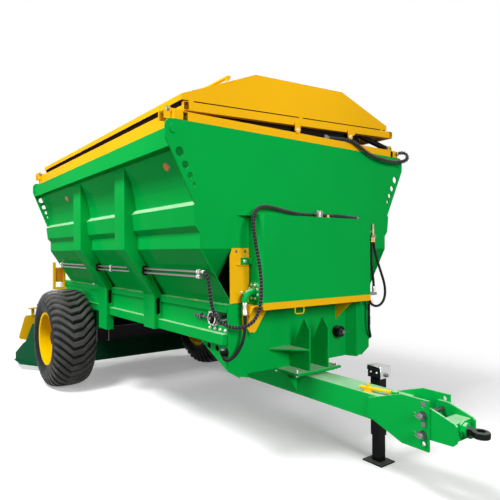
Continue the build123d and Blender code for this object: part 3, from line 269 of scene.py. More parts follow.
FINISHES = {
    "body_paint": GREEN,
    "accent_paint": YELLOW,
    "hood_paint": HOOD_GREEN,
    "black_paint": BLACK,
    "steel": STEEL,
    "chrome": CHROME,
    "tyre": TYRE,
    "rubber": HOSE,
}


# ---- camera, light and floor ------------------------------------------------------------
def swung(one, other, angle):
    """Two square directions, both turned by an angle in their plane."""
    return one * cos(angle) + other * sin(angle), other * cos(angle) - one * sin(angle)


def add_camera():
    azimuth, pitch, roll = (radians(a) for a in (54.5, 0.085, -0.244))
    forward = Vector((-sin(azimuth), cos(azimuth), 0))
    up = Vector((0, 0, 1))
    right = forward.cross(up)
    forward, up = swung(forward, up, pitch)
    right, up = swung(right, up, roll)
    data = bpy.data.cameras.new("camera")
    data.sensor_width = 36
    data.lens = 34.77
    data.shift_x = 0.0383
    data.shift_y = 0.0023
    camera = bpy.data.objects.new("camera", data)
    turn = Matrix((right, up, -forward)).transposed().to_4x4()
    camera.matrix_world = Matrix.Translation((4.355, -2.745, 1.57)) @ turn
    bpy.context.scene.collection.objects.link(camera)
    bpy.context.scene.camera = camera


def add_area(name, place, target, size, watts):
    data = bpy.data.lights.new(name, "AREA")
    data.shape = "RECTANGLE"
    data.size, data.size_y = size
    data.energy = watts
    lamp = bpy.data.objects.new(name, data)
    lamp.location = place
    lamp.rotation_euler = (Vector(target) - Vector(place)).to_track_quat("-Z", "Y").to_euler()
    bpy.context.scene.collection.objects.link(lamp)


def add_world():
    """White to the camera and in reflections, and a softer grey light on the object."""
    world = bpy.data.worlds.new("studio")
    world.use_nodes = True
    tree = world.node_tree
    light = tree.nodes["Background"]
    light.inputs["Color"].default_value = (1, 1, 1, 1)
    light.inputs["Strength"].default_value = 0.18
    white = tree.nodes.new("ShaderNodeBackground")
    white.inputs["Color"].default_value = (1, 1, 1, 1)
    white.inputs["Strength"].default_value = 1.0
    mix = tree.nodes.new("ShaderNodeMixShader")
    tree.links.new(seen_plainly(tree), mix.inputs["Fac"])
    tree.links.new(light.outputs["Background"], mix.inputs[1])
    tree.links.new(white.outputs["Background"], mix.inputs[2])
    tree.links.new(mix.outputs["Shader"], tree.nodes["World Output"].inputs["Surface"])
    bpy.context.scene.world = world


def add_stage():
    add_world()
    bpy.context.scene.view_settings.view_transform = "Standard"
    add_area("key", (0.9, -5.6, 8.9), (-0.3, -1.0, 1.6), (3.0, 2.4), 900)
    add_area("front", (8.6, -1.6, 3.9), (0.5, 0, 1.4), (3, 3), 455)
    add_area("side", (-1.5, -8.5, 2.4), (-0.6, -1.0, 1.2), (4, 2.4), 210)
    add_area("rear", (-9.5, -0.3, 4.6), (-0.6, -1.05, 1.9), (3.4, 2.0), 430)
    mesh = bpy.data.meshes.new("floor")
    mesh.from_pydata([(-60, -60, 0), (60, -60, 0), (60, 60, 0), (-60, 60, 0)], [], [(0, 1, 2, 3)])
    floor = bpy.data.objects.new("floor", mesh)
    bpy.context.scene.collection.objects.link(floor)
    floor.data.materials.append(floor_paint("floor_white", (0.86, 0.86, 0.86)))


# ---- shapes -----------------------------------------------------------------------------
class Shape:
    """Collects turned, hexagonal, flat and bent parts into one mesh."""

    def __init__(self, name, material, body="chassis"):
        self.name, self.material, self.body = name, material, body
        self.mesh = bmesh.new()

    def ring(self, centre, side, up, radius, sides, turn=0.0):
        """A circle's points, from its two square directions."""
        angles = (2 * pi * number / sides + turn for number in range(sides))
        return [self.mesh.verts.new(centre + (side * cos(a) + up * sin(a)) * radius) for a in angles]

    def joined(self, rings, closed=False):
        """Faces from each ring of points to the next, with the ends closed if asked."""
        for low, high in zip(rings, rings[1:]):
            for number in range(len(low)):
                after = (number + 1) % len(low)
                self.mesh.faces.new((low[number], low[after], high[after], high[number]))
        if closed:
            self.mesh.faces.new(rings[0][::-1])
            self.mesh.faces.new(rings[-1])

    def turned(self, start, axis, profile, sides=24, turn=0.0):
        """A profile of (distance along the axis, radius) turned about it, ends closed."""
        start, axis = Vector(start), Vector(axis).normalized()
        side = axis.orthogonal().normalized()
        up = axis.cross(side)
        rings = [self.ring(start + axis * along, side, up, radius, sides, turn) for along, radius in profile]
        self.joined(rings, True)

    def bolt(self, place, axis, radius=0.011, washer=True, stud=0.0):
        """A hexagon head or nut on its washer, standing on the given point."""
        head = radius * 0.75
        base = 0.0
        if washer:
            base = radius * 0.22
            self.turned(place, axis, [(0, radius * 1.3), (base * 0.8, radius * 1.3), (base, radius * 1.22)], 20)
        lift = Vector(place) + Vector(axis).normalized() * base
        self.turned(lift, axis, [(0, radius), (head * 0.82, radius), (head, radius * 0.84)], 6, rng.random())
        if stud:
            self.turned(lift + Vector(axis).normalized() * head, axis,
                        [(-0.001, radius * 0.55), (stud, radius * 0.55), (stud + 0.0015, radius * 0.45)], 12)

    def box(self, low, high, edge=0.0015):
        """A box between two corners with softened edges."""
        low, high = Vector(low), Vector(high)
        made = bmesh.ops.create_cube(self.mesh, size=1.0)["verts"]
        for vert in made:
            vert.co = Vector((low[i] + (high[i] - low[i]) * (vert.co[i] + 0.5) for i in range(3)))
        edges = list(dict.fromkeys(e for vert in made for e in vert.link_edges))
        bmesh.ops.bevel(self.mesh, geom=edges, offset=edge, segments=1, affect="EDGES")

    def flank(self, side, low, high, edge=0.0015):
        """A box given from the front wall on the left side, or its mirror image if side is -1."""
        near, far = sorted((side * low[1], side * high[1]))
        self.box(at(low[0], near, low[2]), at(high[0], far, high[2]), edge)

    def slab(self, corners, normal, thickness):
        """A flat plate with straight edges; the normal points from the given face into it."""
        shift = Vector(normal).normalized() * thickness
        low = [self.mesh.verts.new(Vector(c)) for c in corners]
        high = [self.mesh.verts.new(Vector(c) + shift) for c in corners]
        self.mesh.faces.new(low[::-1])
        self.mesh.faces.new(high)
        self.joined([low, high])

    def rod(self, points, radius, sides=10):
        """A round rod bent through points; its rings keep from twisting."""
        points = [Vector(p) for p in points]
        rings = []
        side = None
        for number, point in enumerate(points):
            before = points[max(number - 1, 0)]
            after = points[min(number + 1, len(points) - 1)]
            along = (after - before).normalized()
            if side is None:
                side = along.orthogonal().normalized()
            else:
                side = (side - along * side.dot(along)).normalized()
            up = along.cross(side)
            rings.append(self.ring(point, side, up, radius, sides))
        self.joined(rings, True)

    def made(self):
        """The parts as an object that rides nothing yet."""
        bmesh.ops.recalc_face_normals(self.mesh, faces=self.mesh.faces)
        data = bpy.data.meshes.new(self.name)
        self.mesh.to_mesh(data)
        self.mesh.free()
        piece = bpy.data.objects.new(self.name, data)
        bpy.context.scene.collection.objects.link(piece)
        return piece

    def done(self, angle=40):
        piece = self.made()
        piece.data.polygons.foreach_set("use_smooth", [True] * len(piece.data.polygons))
        piece.data.set_sharp_from_angle(angle=radians(angle))
        piece.data.materials.append(self.material)
        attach(piece, self.body)
        return piece


def arc(points, steps=6):
    """Rounds the corners of a rod's path by short chords."""
    points = [Vector(p) for p in points]
    path = [points[0]]
    for before, corner, after in zip(points, points[1:], points[2:]):
        reach = min((before - corner).length, (after - corner).length) * 0.45
        start = corner + (before - corner).normalized() * reach
        end = corner + (after - corner).normalized() * reach
        for step in range(steps + 1):
            t = step / steps
            path.append(start.lerp(corner, t).lerp(corner.lerp(end, t), t))
    return path + [points[-1]]


def on_cover(x, across, height):
    """A point given across the cover and above its level, from the hinge."""
    c, s = cos(COVER_REST), sin(COVER_REST)
    return Vector(at(x, HINGE[0] + across * c - height * s, HINGE[1] + across * s + height * c))


# ---- hoses ------------------------------------------------------------------------------
# each hose by its radius, its length, and the points that it bends at, from the front wall
HOSES = {
    "hose_supply": (0.011, 2.68, [
        (-0.1, -0.9353, 1.43), (-0.07, -0.9353, 1.43), (-0.041, -0.934, 1.419), (-0.021, -0.933, 1.397),
        (-0.009, -0.93, 1.368), (-0.004, -0.927, 1.33), (-0.002, -0.92, 1.27), (-0.001, -0.91, 1.195),
        (0.014, -0.886, 1.12), (0.036, -0.844, 1.066), (0.068, -0.784, 1.04), (0.108, -0.72, 1.038),
        (0.15, -0.664, 1.075), (0.178, -0.632, 1.15), (0.188, -0.618, 1.25), (0.186, -0.616, 1.37),
        (0.176, -0.626, 1.49), (0.164, -0.642, 1.6), (0.152, -0.653, 1.705), (0.13, -0.642, 1.8),
        (0.098, -0.592, 1.872), (0.068, -0.505, 1.903), (0.042, -0.4, 1.902), (0.028, -0.28, 1.886),
        (0.022, -0.155, 1.868), (0.02, -0.02, 1.862), (0.021, 0.12, 1.86), (0.025, 0.26, 1.866),
        (0.026, 0.39, 1.866), (0.022, 0.504, 1.858), (0.022, 0.57, 1.858)]),
    "hose_loop": (0.011, 0.867, [
        (0.1, 0.714, 1.69), (0.1, 0.714, 1.64), (0.1, 0.732, 1.565), (0.099, 0.77, 1.475),
        (0.097, 0.822, 1.375), (0.094, 0.866, 1.29), (0.09, 0.886, 1.212), (0.087, 0.876, 1.146),
        (0.085, 0.838, 1.103), (0.084, 0.788, 1.086), (0.083, 0.738, 1.091), (0.083, 0.694, 1.114),
        (0.085, 0.67, 1.153), (0.085, 0.67, 1.19)]),
    "hose_drop": (0.011, 0.477, [
        (0.1, 0.686, 1.69), (0.1, 0.686, 1.63), (0.1, 0.683, 1.54), (0.1, 0.686, 1.44),
        (0.1, 0.702, 1.35), (0.1, 0.712, 1.285), (0.1, 0.712, 1.215)]),
    "hose_suction": (0.012, 0.439, [
        (0.07, -0.672, 1.12), (0.07, -0.672, 1.066), (0.068, -0.674, 1.004), (0.063, -0.684, 0.942),
        (0.053, -0.706, 0.884), (0.04, -0.735, 0.838), (0.025, -0.764, 0.811), (0.007, -0.788, 0.801),
        (-0.012, -0.8, 0.808), (-0.024, -0.8, 0.827), (-0.024, -0.8, 0.852)]),
    "hose_motor": (0.011, 0.473, [
        (0.05, 0.71, 1.19), (0.05, 0.71, 1.14), (0.052, 0.708, 1.08), (0.052, 0.706, 1.012),
        (0.049, 0.708, 0.948), (0.042, 0.72, 0.89), (0.032, 0.744, 0.842), (0.014, 0.776, 0.812),
        (-0.012, 0.8, 0.798), (-0.046, 0.8, 0.798)]),
    "hose_cover": (0.01, 1.16, [
        (-0.02, 0.262, 2.526), (-0.02, 0.33, 2.526), (-0.01, 0.42, 2.527), (0.014, 0.51, 2.526),
        (0.027, 0.592, 2.498), (0.033, 0.68, 2.453), (0.04, 0.775, 2.418), (0.048, 0.875, 2.399),
        (0.056, 0.975, 2.391), (0.064, 1.07, 2.391), (0.072, 1.15, 2.398), (0.078, 1.207, 2.413),
        (0.08, 1.242, 2.439), (0.074, 1.249, 2.467), (0.062, 1.233, 2.487), (0.05, 1.208, 2.493),
        (0.042, 1.187, 2.491), (0.032, 1.172, 2.485), (0.014, 1.172, 2.485)]),
}
GUARDED = {"hose_supply": 1.22, "hose_cover": 1.62}     # spiral guards: their line against the hose's radius


def route(curve):
    """Points along a curve that has no bevel yet."""
    bpy.context.view_layer.update()
    line = bpy.data.meshes.new_from_object(curve.evaluated_get(bpy.context.evaluated_depsgraph_get()))
    points = [v.co.copy() for v in line.vertices]
    bpy.data.meshes.remove(line)
    return points


def spiral(name, points, radius, pitch, wire):
    """A round strip wound about a route."""
    steps = []
    travelled = 0.0
    side = (points[1] - points[0]).orthogonal().normalized()
    for before, after in zip(points, points[1:]):
        run = after - before
        along = run.normalized()
        side = (side - along * side.dot(along)).normalized()
        up = along.cross(side)
        count = max(1, round(run.length / (pitch / 10)))
        for number in range(count):
            angle = 2 * pi * travelled / pitch
            steps.append(before + run * (number / count)
                         + (side * cos(angle) + up * sin(angle)) * radius)
            travelled += run.length / count
    guard = Shape(name, GUARD)
    guard.rod(steps, wire, 6)
    return guard.done(80)


def add_hoses():
    for name, (radius, length, points) in HOSES.items():
        data = bpy.data.curves.new(name + "_line", "CURVE")
        data.dimensions = "3D"
        data.resolution_u = 8
        data.use_fill_caps = True
        spline = data.splines.new("NURBS")
        spline.points.add(len(points) - 1)
        for point, (x, y, z) in zip(spline.points, points):
            point.co = (*at(x, y, z), 1)
        spline.order_u = 3
        spline.use_endpoint_u = True
        curve = bpy.data.objects.new(name + "_line", data)
        bpy.context.scene.collection.objects.link(curve)
        if name in GUARDED:
            grown = radius * GUARDED[name]
            spiral(name + "_guard", route(curve), grown, 0.023, 0.003)
        data.bevel_depth = radius
        data.bevel_resolution = 4
        data.materials.append(HOSE)
        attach(curve, "chassis")
        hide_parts(name)


# ---- fasteners and fittings -------------------------------------------------------------
def add_frame_bolts():
    bolts = Shape("frame_bolts", ZINC)
    dark = Shape("chain_tensioners", DARK_STEEL)
    caps = Shape("bearing_caps", BLACK)
    for side in (-1, 1):
        out = (0, side, 0)
        for row in (1.147, 1.005):
            for number in range(4):
                bolts.bolt(at(-0.234 + 0.067 * number, side * FRAME_SIDE, row), out, 0.0105)
        bolts.bolt(at(-2.719, side * FRAME_SIDE, 1.2), out, 0.013)
        for x in (-3.98, -3.86):
            for z in (1.015, 1.145):
                bolts.bolt(at(x, side * 0.79, z), out, 0.011)
        x, z = SHAFT
        caps.turned(at(x, side * 0.79, z), out, [(0, 0.05), (0.008, 0.05), (0.01, 0.046)], 36)
        rib_ring(bolts, at(x, side * 0.8, z), side, 0.0455, 0.0045, 0.004, 48)
        caps.turned(at(x, side * 0.799, z), out, [(0, 0.03), (0.012, 0.028), (0.018, 0.02), (0.02, 0.008)], 28)
        dark.turned(at(x, side * 0.818, z), out, [(0, 0.013), (0.004, 0.011), (0.005, 0.004)], 20)
        dark.turned(at(-0.42, side * 0.784, z), (1, 0, 0), [(0, 0.007), (0.002, 0.008), (0.2, 0.008)], 14)
        for back in (0.425, 0.385, 0.3):
            dark.turned(at(-back, side * 0.784, z), (1, 0, 0),
                        [(0, 0.013), (0.002, 0.0145), (0.013, 0.0145), (0.015, 0.013)], 6)
        dark.flank(side, (-0.345, FRAME_SIDE, 1.06), (-0.333, 0.8, 1.104))
    bolts.done()
    dark.done()
    caps.done()


def add_wheel_nuts():
    for label, side in (("left", 1), ("right", -1)):
        nuts = Shape("wheel_nuts_" + label, ZINC, "wheel_" + label)
        face = side * (WHEEL_MIDDLE - 0.008)
        for number in range(10):
            angle = 2 * pi * number / 10
            nuts.bolt((AXLE[0] + 0.096 * cos(angle), face, AXLE[1] + 0.096 * sin(angle)), (0, side, 0),
                      0.0125, True, 0.012)
        nuts.done()
        cap = Shape("hub_cap_" + label, BLACK, "wheel_" + label)
        cap.turned((AXLE[0], side * (WHEEL_MIDDLE + 0.056), AXLE[1]), (0, side, 0),
                   [(0, 0.079), (0.06, 0.079), (0.064, 0.086), (0.078, 0.086), (0.082, 0.062), (0.086, 0.06),
                    (0.092, 0.03), (0.093, 0.012)], 36)
        for number in range(8):
            angle = 2 * pi * (number + 0.5) / 8
            cap.bolt((AXLE[0] + 0.073 * cos(angle), side * (WHEEL_MIDDLE + 0.134),
                      AXLE[1] + 0.073 * sin(angle)), (0, side, 0), 0.006, False)
        cap.done()
        valve = Shape("valve_" + label, BRASS, "wheel_" + label)
        foot = Vector((AXLE[0] + 0.16, side * (WHEEL_MIDDLE - 0.02), AXLE[1] + 0.175))
        valve.turned(foot, (0.25, side, 0.3), [(0, 0.007), (0.02, 0.007), (0.022, 0.0045), (0.06, 0.0045)], 12)
        valve.done()
        add_tyre(label, side)


# half the tyre's section and a lug's line, by distance from the middle and radius;
# a lug's section, by half width and drop
TYRE_HALF = [(0, 0.543), (0.12, 0.5385), (0.165, 0.527), (0.198, 0.505), (0.219, 0.478), (0.234, 0.446),
             (0.2425, 0.408), (0.239, 0.37), (0.226, 0.335), (0.207, 0.305), (0.198, 0.29), (0.1965, 0.2795)]
LUG_LINE = [(-0.236, 0.448), (-0.222, 0.492), (-0.2, 0.527), (-0.165, 0.548), (-0.12, 0.56), (-0.052, 0.566),
            (0.052, 0.566), (0.12, 0.56), (0.165, 0.548), (0.2, 0.527), (0.222, 0.492), (0.236, 0.448)]
LUG_FACE = [(-0.0345, 0.036), (-0.0265, 0.003), (-0.0235, 0.0), (0.0235, 0.0), (0.0265, 0.003), (0.0345, 0.036)]
LUGS = 36


def wheel_ring(shape, centre, across, radius, sides):
    """Points of a circle that faces across the machine."""
    angles = (2 * pi * n / sides for n in range(sides))
    return [shape.mesh.verts.new(centre + Vector((radius * cos(a), across, radius * sin(a))))
            for a in angles]


def add_tyre(label, side):
    """Carcass with ribbed sides, and chevron lugs whose arms sweep up to the shoulders."""
    centre = Vector((AXLE[0], side * WHEEL_MIDDLE, AXLE[1]))
    sides = 120

    carcass = Shape("tyre_carcass_" + label, TYRE, "wheel_" + label)
    line = [(-y, r) for y, r in TYRE_HALF[::-1]] + TYRE_HALF[1:]
    line += [(y * 0.86, r + 0.012 if r < 0.4 else r - 0.03) for y, r in line[::-1]]
    rings = [wheel_ring(carcass, centre, across, radius, sides) for across, radius in line]
    carcass.joined(rings + rings[:1])
    for way in (1, -1):
        for across, radius in ((0.2085, 0.312), (0.234, 0.36), (0.2395, 0.392)):
            rib_ring(carcass, centre + Vector((0, way * (across - 0.003), 0)), way, radius, 0.0045, 0.0045, sides)
    tyre = carcass.done(35)
    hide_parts("tyre_" + label)
    lugs = Shape("tyre_lugs_" + label, TREAD, "wheel_" + label)
    for number in range(LUGS):
        start = 2 * pi * number / LUGS
        rows = []
        for across, radius in LUG_LINE:
            sweep = max(0.0, abs(across) - 0.052) * 0.95
            stagger = 0.011 if across > 0 else -0.011
            taper = 1.0 if abs(across) < 0.2 else 0.8
            row = []
            for half, drop in LUG_FACE:
                out = radius - drop
                angle = start + (sweep + stagger + half * taper) / 0.56
                row.append(lugs.mesh.verts.new(centre + Vector((
                    out * cos(angle), across, out * sin(angle)))))
            rows.append(row)
        lugs.joined(rows, True)
    lugs.done(25)


def rib_ring(shape, start, way, radius, width, height, sides):
    """A low round rib on a face that looks across the machine."""
    centre = Vector(start)
    profile = ((0, -width), (height, -width * 0.5), (height, width * 0.5), (0, width))
    shape.joined([wheel_ring(shape, centre, way * along, radius + out, sides) for along, out in profile])


def add_cover_fittings():
    nuts = Shape("hinge_nuts", PIPE)
    for back in (0.09, 3.37):
        for way in (1, -1):
            nuts.bolt(at(-back + way * 0.0452, HINGE[0], HINGE[1]), (way, 0, 0), 0.0125, True, 0.004)
    nuts.done()
    stops = Shape("stop_bolts", ZINC, "cover")
    pads = Shape("stop_straps", YELLOW, "cover")
    for across, radius in ((1.127, 0.029), (1.747, 0.027)):
        angles = [pi * (1 + n / 14) for n in range(15)]
        outline = [(across + radius * cos(a), -0.044 + radius * sin(a)) for a in angles]
        outline += [(across + radius, 0.012), (across - radius, 0.012)]
        pads.slab([on_cover(0.0025, u, w) for u, w in outline], (1, 0, 0), 0.008)
        pads.turned(on_cover(-0.006, across, -0.002), (1, 0, 0), [(0, 0.01), (0.01, 0.01)], 20)
        stops.bolt(on_cover(0.0105, across, -0.044), (1, 0, 0), 0.0105, True, 0.003)
    stops.done()
    pads.done()
    gland = Shape("cylinder_gland", DARK_STEEL, "cylinder_barrel")
    foot = Vector(at(-0.09, 1.165, 2.545))
    eye = on_cover(-0.09, 1.478, 0.126)
    along = (eye - foot).normalized()
    length = (eye - foot).length - 0.06
    gland.turned(foot + along * (length - 0.03), along,
                 [(0, 0.0262), (0.002, 0.0275), (0.024, 0.0275), (0.028, 0.024), (0.0305, 0.022)], 28)
    gland.turned(foot + along * 0.03, along, [(0, 0.0262), (0.002, 0.0272), (0.01, 0.0272), (0.012, 0.0262)], 28)
    gland.done()


def add_reflectors():
    glass = Shape("reflectors", AMBER)
    rims = Shape("reflector_rims", DARK_STEEL)
    for side in (-1, 1):
        normal = Vector((0, side * 0.912, -0.41))
        upward = Vector((0, side * 0.41, 0.912))
        for back, height in ((0.327, 2.19), (2.723, 2.18)):
            half = 1.124 - (2.285 - height) * 0.058 / 0.129
            centre = Vector(at(-back, side * half, height)) + normal * 0.0002
            for shape, long, tall, thick in ((rims, 0.042, 0.034, 0.004), (glass, 0.036, 0.028, 0.007)):
                low, high = [], []
                for number in range(28):
                    angle = 2 * pi * number / 28
                    spot = centre + Vector((long * cos(angle), 0, 0)) + upward * tall * sin(angle)
                    low.append(shape.mesh.verts.new(spot))
                    high.append(shape.mesh.verts.new(centre + (spot - centre) * 0.92 + normal * thick))
                shape.mesh.faces.new(low[::-1])
                shape.mesh.faces.new(high)
                shape.joined([low, high])
    for side in (-1, 1):
        for way in (-1, 1):
            near, far = sorted((way * 0.0062, way * 0.0105))
            glass.flank(side, (near - 3.8, 0.815, 1.19), (far - 3.8, 0.905, 1.36), 0.002)
    glass.done()
    rims.done()


def add_tank_fittings():
    cap = Shape("breather_cap", PIPE)
    centre = at(0.075, 0.067, TANK_TOP)
    cap.turned(centre, (0, 0, 1), [(0, 0.0335), (0.004, 0.0335), (0.005, 0.0305), (0.02, 0.0305), (0.021, 0.0325),
                                   (0.05, 0.0325), (0.054, 0.03), (0.0555, 0.024)], 40)
    for number in range(20):
        angle = 2 * pi * number / 20
        foot = Vector(centre) + Vector((0.0322 * cos(angle), 0.0322 * sin(angle), 0.024))
        cap.turned(foot, (0, 0, 1), [(0, 0.0016), (0.024, 0.0016)], 6)
    cap.done()
    brass = Shape("brass_fittings", BRASS)
    brass.turned(at(0.075, 0.17, TANK_TOP), (0, 0, 1),
                 [(0, 0.016), (0.01, 0.016), (0.011, 0.0115), (0.024, 0.0115), (0.0275, 0.009)], 6)
    brass.turned(at(0.1, 0.7, 1.7122), (0, 0, 1),
                 [(0, 0.0135), (0.012, 0.0135), (0.013, 0.0125), (0.03, 0.0125), (0.031, 0.0145), (0.047, 0.0145),
                  (0.048, 0.0125), (0.07, 0.0125), (0.094, 0.0122)], 8)
    for name in ("hose_loop", "hose_drop"):
        x, y, z = HOSES[name][2][0]
        brass.turned(at(x, y, z), (0, 0, -1),
                     [(0, 0.0125), (0.014, 0.0125), (0.016, 0.0116), (0.04, 0.0116)], 10)
    brass.done()
    ferrules = Shape("hose_ferrules", ZINC)
    ends = [
        ("hose_supply", 0, 0.045), ("hose_loop", -1, 0.032), ("hose_drop", -1, 0.05),
        ("hose_motor", 0, 0.045), ("hose_cover", 0, 0.02), ("hose_cover", -1, 0.016),
    ]
    for name, end, reach in ends:
        radius, _, points = HOSES[name]
        near, far = points[end], points[1 if end == 0 else -2]
        along = (Vector(far) - Vector(near)).normalized()
        start = Vector(at(*near))
        ferrules.turned(start, along, [
            (0, radius + 0.002), (reach * 0.3, radius + 0.002), (reach * 0.34, radius + 0.0032),
            (reach * 0.9, radius + 0.0032), (reach, radius + 0.0008)], 20)
    ferrules.turned(at(0.07, -0.672, 1.12), (0, 0, 1), [
        (0, 0.0185), (0.004, 0.0195), (0.016, 0.0195), (0.018, 0.0184), (0.068, 0.0184), (0.07, 0.0195),
        (0.082, 0.0195), (0.086, 0.0185), (0.0898, 0.0184)], 28)
    for x in (-3.4, -1.75, -0.1):
        for z in PIPE_ROWS:
            for back in (0.045, 0.02):
                ferrules.turned(at(x - back, -PIPE_ACROSS, z), (1, 0, 0),
                                [(0, 0.0155), (0.002, 0.017), (0.014, 0.017), (0.016, 0.0155)], 6)
    ferrules.done()
    collar = Shape("coupling_collar", YELLOW)
    x, y, z = HOSES["hose_motor"][2][0]
    collar.turned(at(x, y, z - 0.058), (0, 0, -1),
                  [(0, 0.0145), (0.002, 0.016), (0.02, 0.016), (0.022, 0.0145)], 24)
    collar.rod([at(x + 0.014, y + 0.012, z - 0.062), at(x + 0.02, y + 0.026, z - 0.05),
                at(x + 0.022, y + 0.03, z - 0.085), at(x + 0.014, y + 0.014, z - 0.1)], 0.002, 6)
    collar.done()
    flange = Shape("flange_bolts", ZINC)
    for number in range(8):
        angle = radians(22.5 + 45 * number)
        flange.bolt(at(0.07 + 0.052 * cos(angle), -0.597, 1.283 + 0.052 * sin(angle)),
                    (0, -1, 0), 0.0085)
    flange.bolt(at(0.02, -0.634, 1.503), (1, 0, 0), 0.01)
    flange.bolt(at(0.07, -0.699, 1.283), (0, -1, 0), 0.009, False)
    flange.done()
    green = Shape("tank_brackets", GREEN)
    green.box(at(0.0002, -0.662, 1.475), at(0.02, -0.6, 1.53))
    green.box(at(0.0002, -0.6, 1.48), at(0.035, -0.5832, 1.52))
    green.slab([at(0.0003, -0.5832, 1.832), at(0.0003, -0.69, 1.832), at(0.105, -0.5832, 1.832)],
               (0, 0, 1), 0.004)
    green.done()
    hook = Shape("rail_hook", YELLOW)
    hook.rod(arc([at(0.1515, -0.267, 1.158), at(0.1515, -0.267, 1.106), at(0.1515, -0.176, 1.103),
                  at(0.1515, -0.176, 1.158)]), 0.0042, 8)
    hook.done()


def add_drawbar_fittings():
    bolts = Shape("drawbar_bolts", ZINC)
    for x in (0.118, -0.12):
        for y in (-0.215, 0.215):
            bolts.bolt(at(x, y, 0.652), (0, 0, 1), 0.012, True, 0.006)
            bolts.bolt(at(x, y, 0.632), (0, 0, -1), 0.012)
    bolts.done()
    clips = Shape("split_pins", ZINC)
    for height in HITCH_PINS[1]:
        centre = Vector(at(HITCH_PINS[0], 0.14, height))
        clips.rod(arc([centre + Vector((0, 0, 0.03)), centre + Vector((0, 0, -0.028)),
                       centre + Vector((0.022, 0.004, -0.034)), centre + Vector((0.024, 0.004, 0.006))]), 0.0022, 6)
    clips.done()
    lever = Shape("lever_end", GREEN)
    lever.box(at(0.832, -0.055, 0.625), at(0.872, -0.018, 0.655), 0.004)
    lever.done()


def add_jack_fittings():
    top = Shape("jack_cap", STEEL)
    x, y = FRONT + JACK[0], JACK[1]
    top.box((x - 0.0615, y - 0.059, 0.706), (x + 0.0655, y + 0.0605, 0.7195), 0.004)
    top.box((x + 0.0605, y - 0.059, 0.632), (x + 0.0655, y + 0.0605, 0.712), 0.002)
    top.done()
    studs = Shape("jack_studs", ZINC)
    for across in (-0.026, 0.026):
        studs.bolt((x + across, y - 0.0525, 0.672), (0, -1, 0), 0.007)
    studs.done()
    crank = Shape("jack_crank", DARK_STEEL)
    crank.turned((x + 0.05, y, 0.655), (1, 0, 0), [(0, 0.014), (0.03, 0.014), (0.032, 0.0125)], 18)
    crank.done()


def add_axle_clamps():
    rods = Shape("axle_clamps", DARK_STEEL)
    x, z = AXLE
    for side in (-1, 1):
        for y in (0.505, 0.655):
            for way in (-1, 1):
                rods.rod([(x + way * 0.086, side * y, z - 0.079), (x + way * 0.086, side * y, 0.6745)],
                         0.0085, 12)
            rods.rod(arc([(x - 0.086, side * y, z - 0.06), (x - 0.086, side * y, z - 0.0845),
                          (x + 0.086, side * y, z - 0.0845), (x + 0.086, side * y, z - 0.06)]), 0.0085, 12)
            for way in (-1, 1):
                rods.bolt((x + way * 0.086, side * y, 0.6575), (0, 0, 1), 0.013, True, 0.004)
    rods.done()


def add_side_details():
    marks = Shape("side_marks", YELLOW)
    clips = Shape("side_clips", GREEN)
    hooks = Shape("sheet_hooks", DARK_STEEL)
    for side in (-1, 1):
        marks.flank(side, (-0.475, 0.7702, 1.182), (-0.405, 0.7722, 1.1985), 0.0006)
        clips.flank(side, (-1.818, 0.7702, 1.172), (-1.8, 0.784, 1.2), 0.002)
        hook = Vector(at(-3.307, side * 0.936, 1.487))
        hooks.rod(arc([hook, hook + Vector((0, side * 0.03, -0.012)), hook + Vector((0.03, side * 0.036, -0.016)),
                       hook + Vector((0.06, side * 0.03, -0.012)), hook + Vector((0.06, 0, 0))]), 0.004, 8)
    marks.done()
    clips.done()
    hooks.done()


# ---- pieces that replace or dress plain solids -------------------------------------------
def cut(piece, tools):
    """Takes throwaway solids out of a piece and drops them."""
    for tool in tools:
        step = piece.modifiers.new("cut", "BOOLEAN")
        step.operation = "DIFFERENCE"
        step.solver = "EXACT"
        step.object = tool
    bpy.context.view_layer.update()
    graph = bpy.context.evaluated_depsgraph_get()
    data = bpy.data.meshes.new_from_object(piece.evaluated_get(graph))
    piece.modifiers.clear()
    piece.data = data
    for tool in tools:
        bpy.data.objects.remove(tool)


def soften(piece, width, angle):
    """Rounds the edges that are sharper than an angle."""
    bevel = piece.modifiers.new("edges", "BEVEL")
    bevel.width = width
    bevel.segments = 2
    bevel.limit_method = "ANGLE"
    bevel.angle_limit = radians(angle)


# each post's rear and front edge behind the front wall, and its foot's height; the slot in its front face,
# by its middle, its round ends' radius and how far their middles lie above and below
POSTS = [(1.22, 1.01, 0.9), (2.36, 2.13, 0.75)]
POST_OUTLINE = [(1.12, 2.285), (1.12, 1.593), (0.845, 1.195), (0.845, None), (0.7705, None), (0.7705, 1.196),
                (0.995, 1.585), (1.004, 1.6), (1.004, 1.706), (1.03, 1.75), (1.046, 1.885), (1.012, 1.925),
                (1.028, 2.035), (1.058, 2.158), (1.1, 2.285)]
SLOT_MIDDLE, SLOT_ROUND, SLOT_ABOVE, SLOT_BELOW = (0.8075, 1.1), 0.02, 0.053, -0.057
SLOT_DEPTH = 0.028


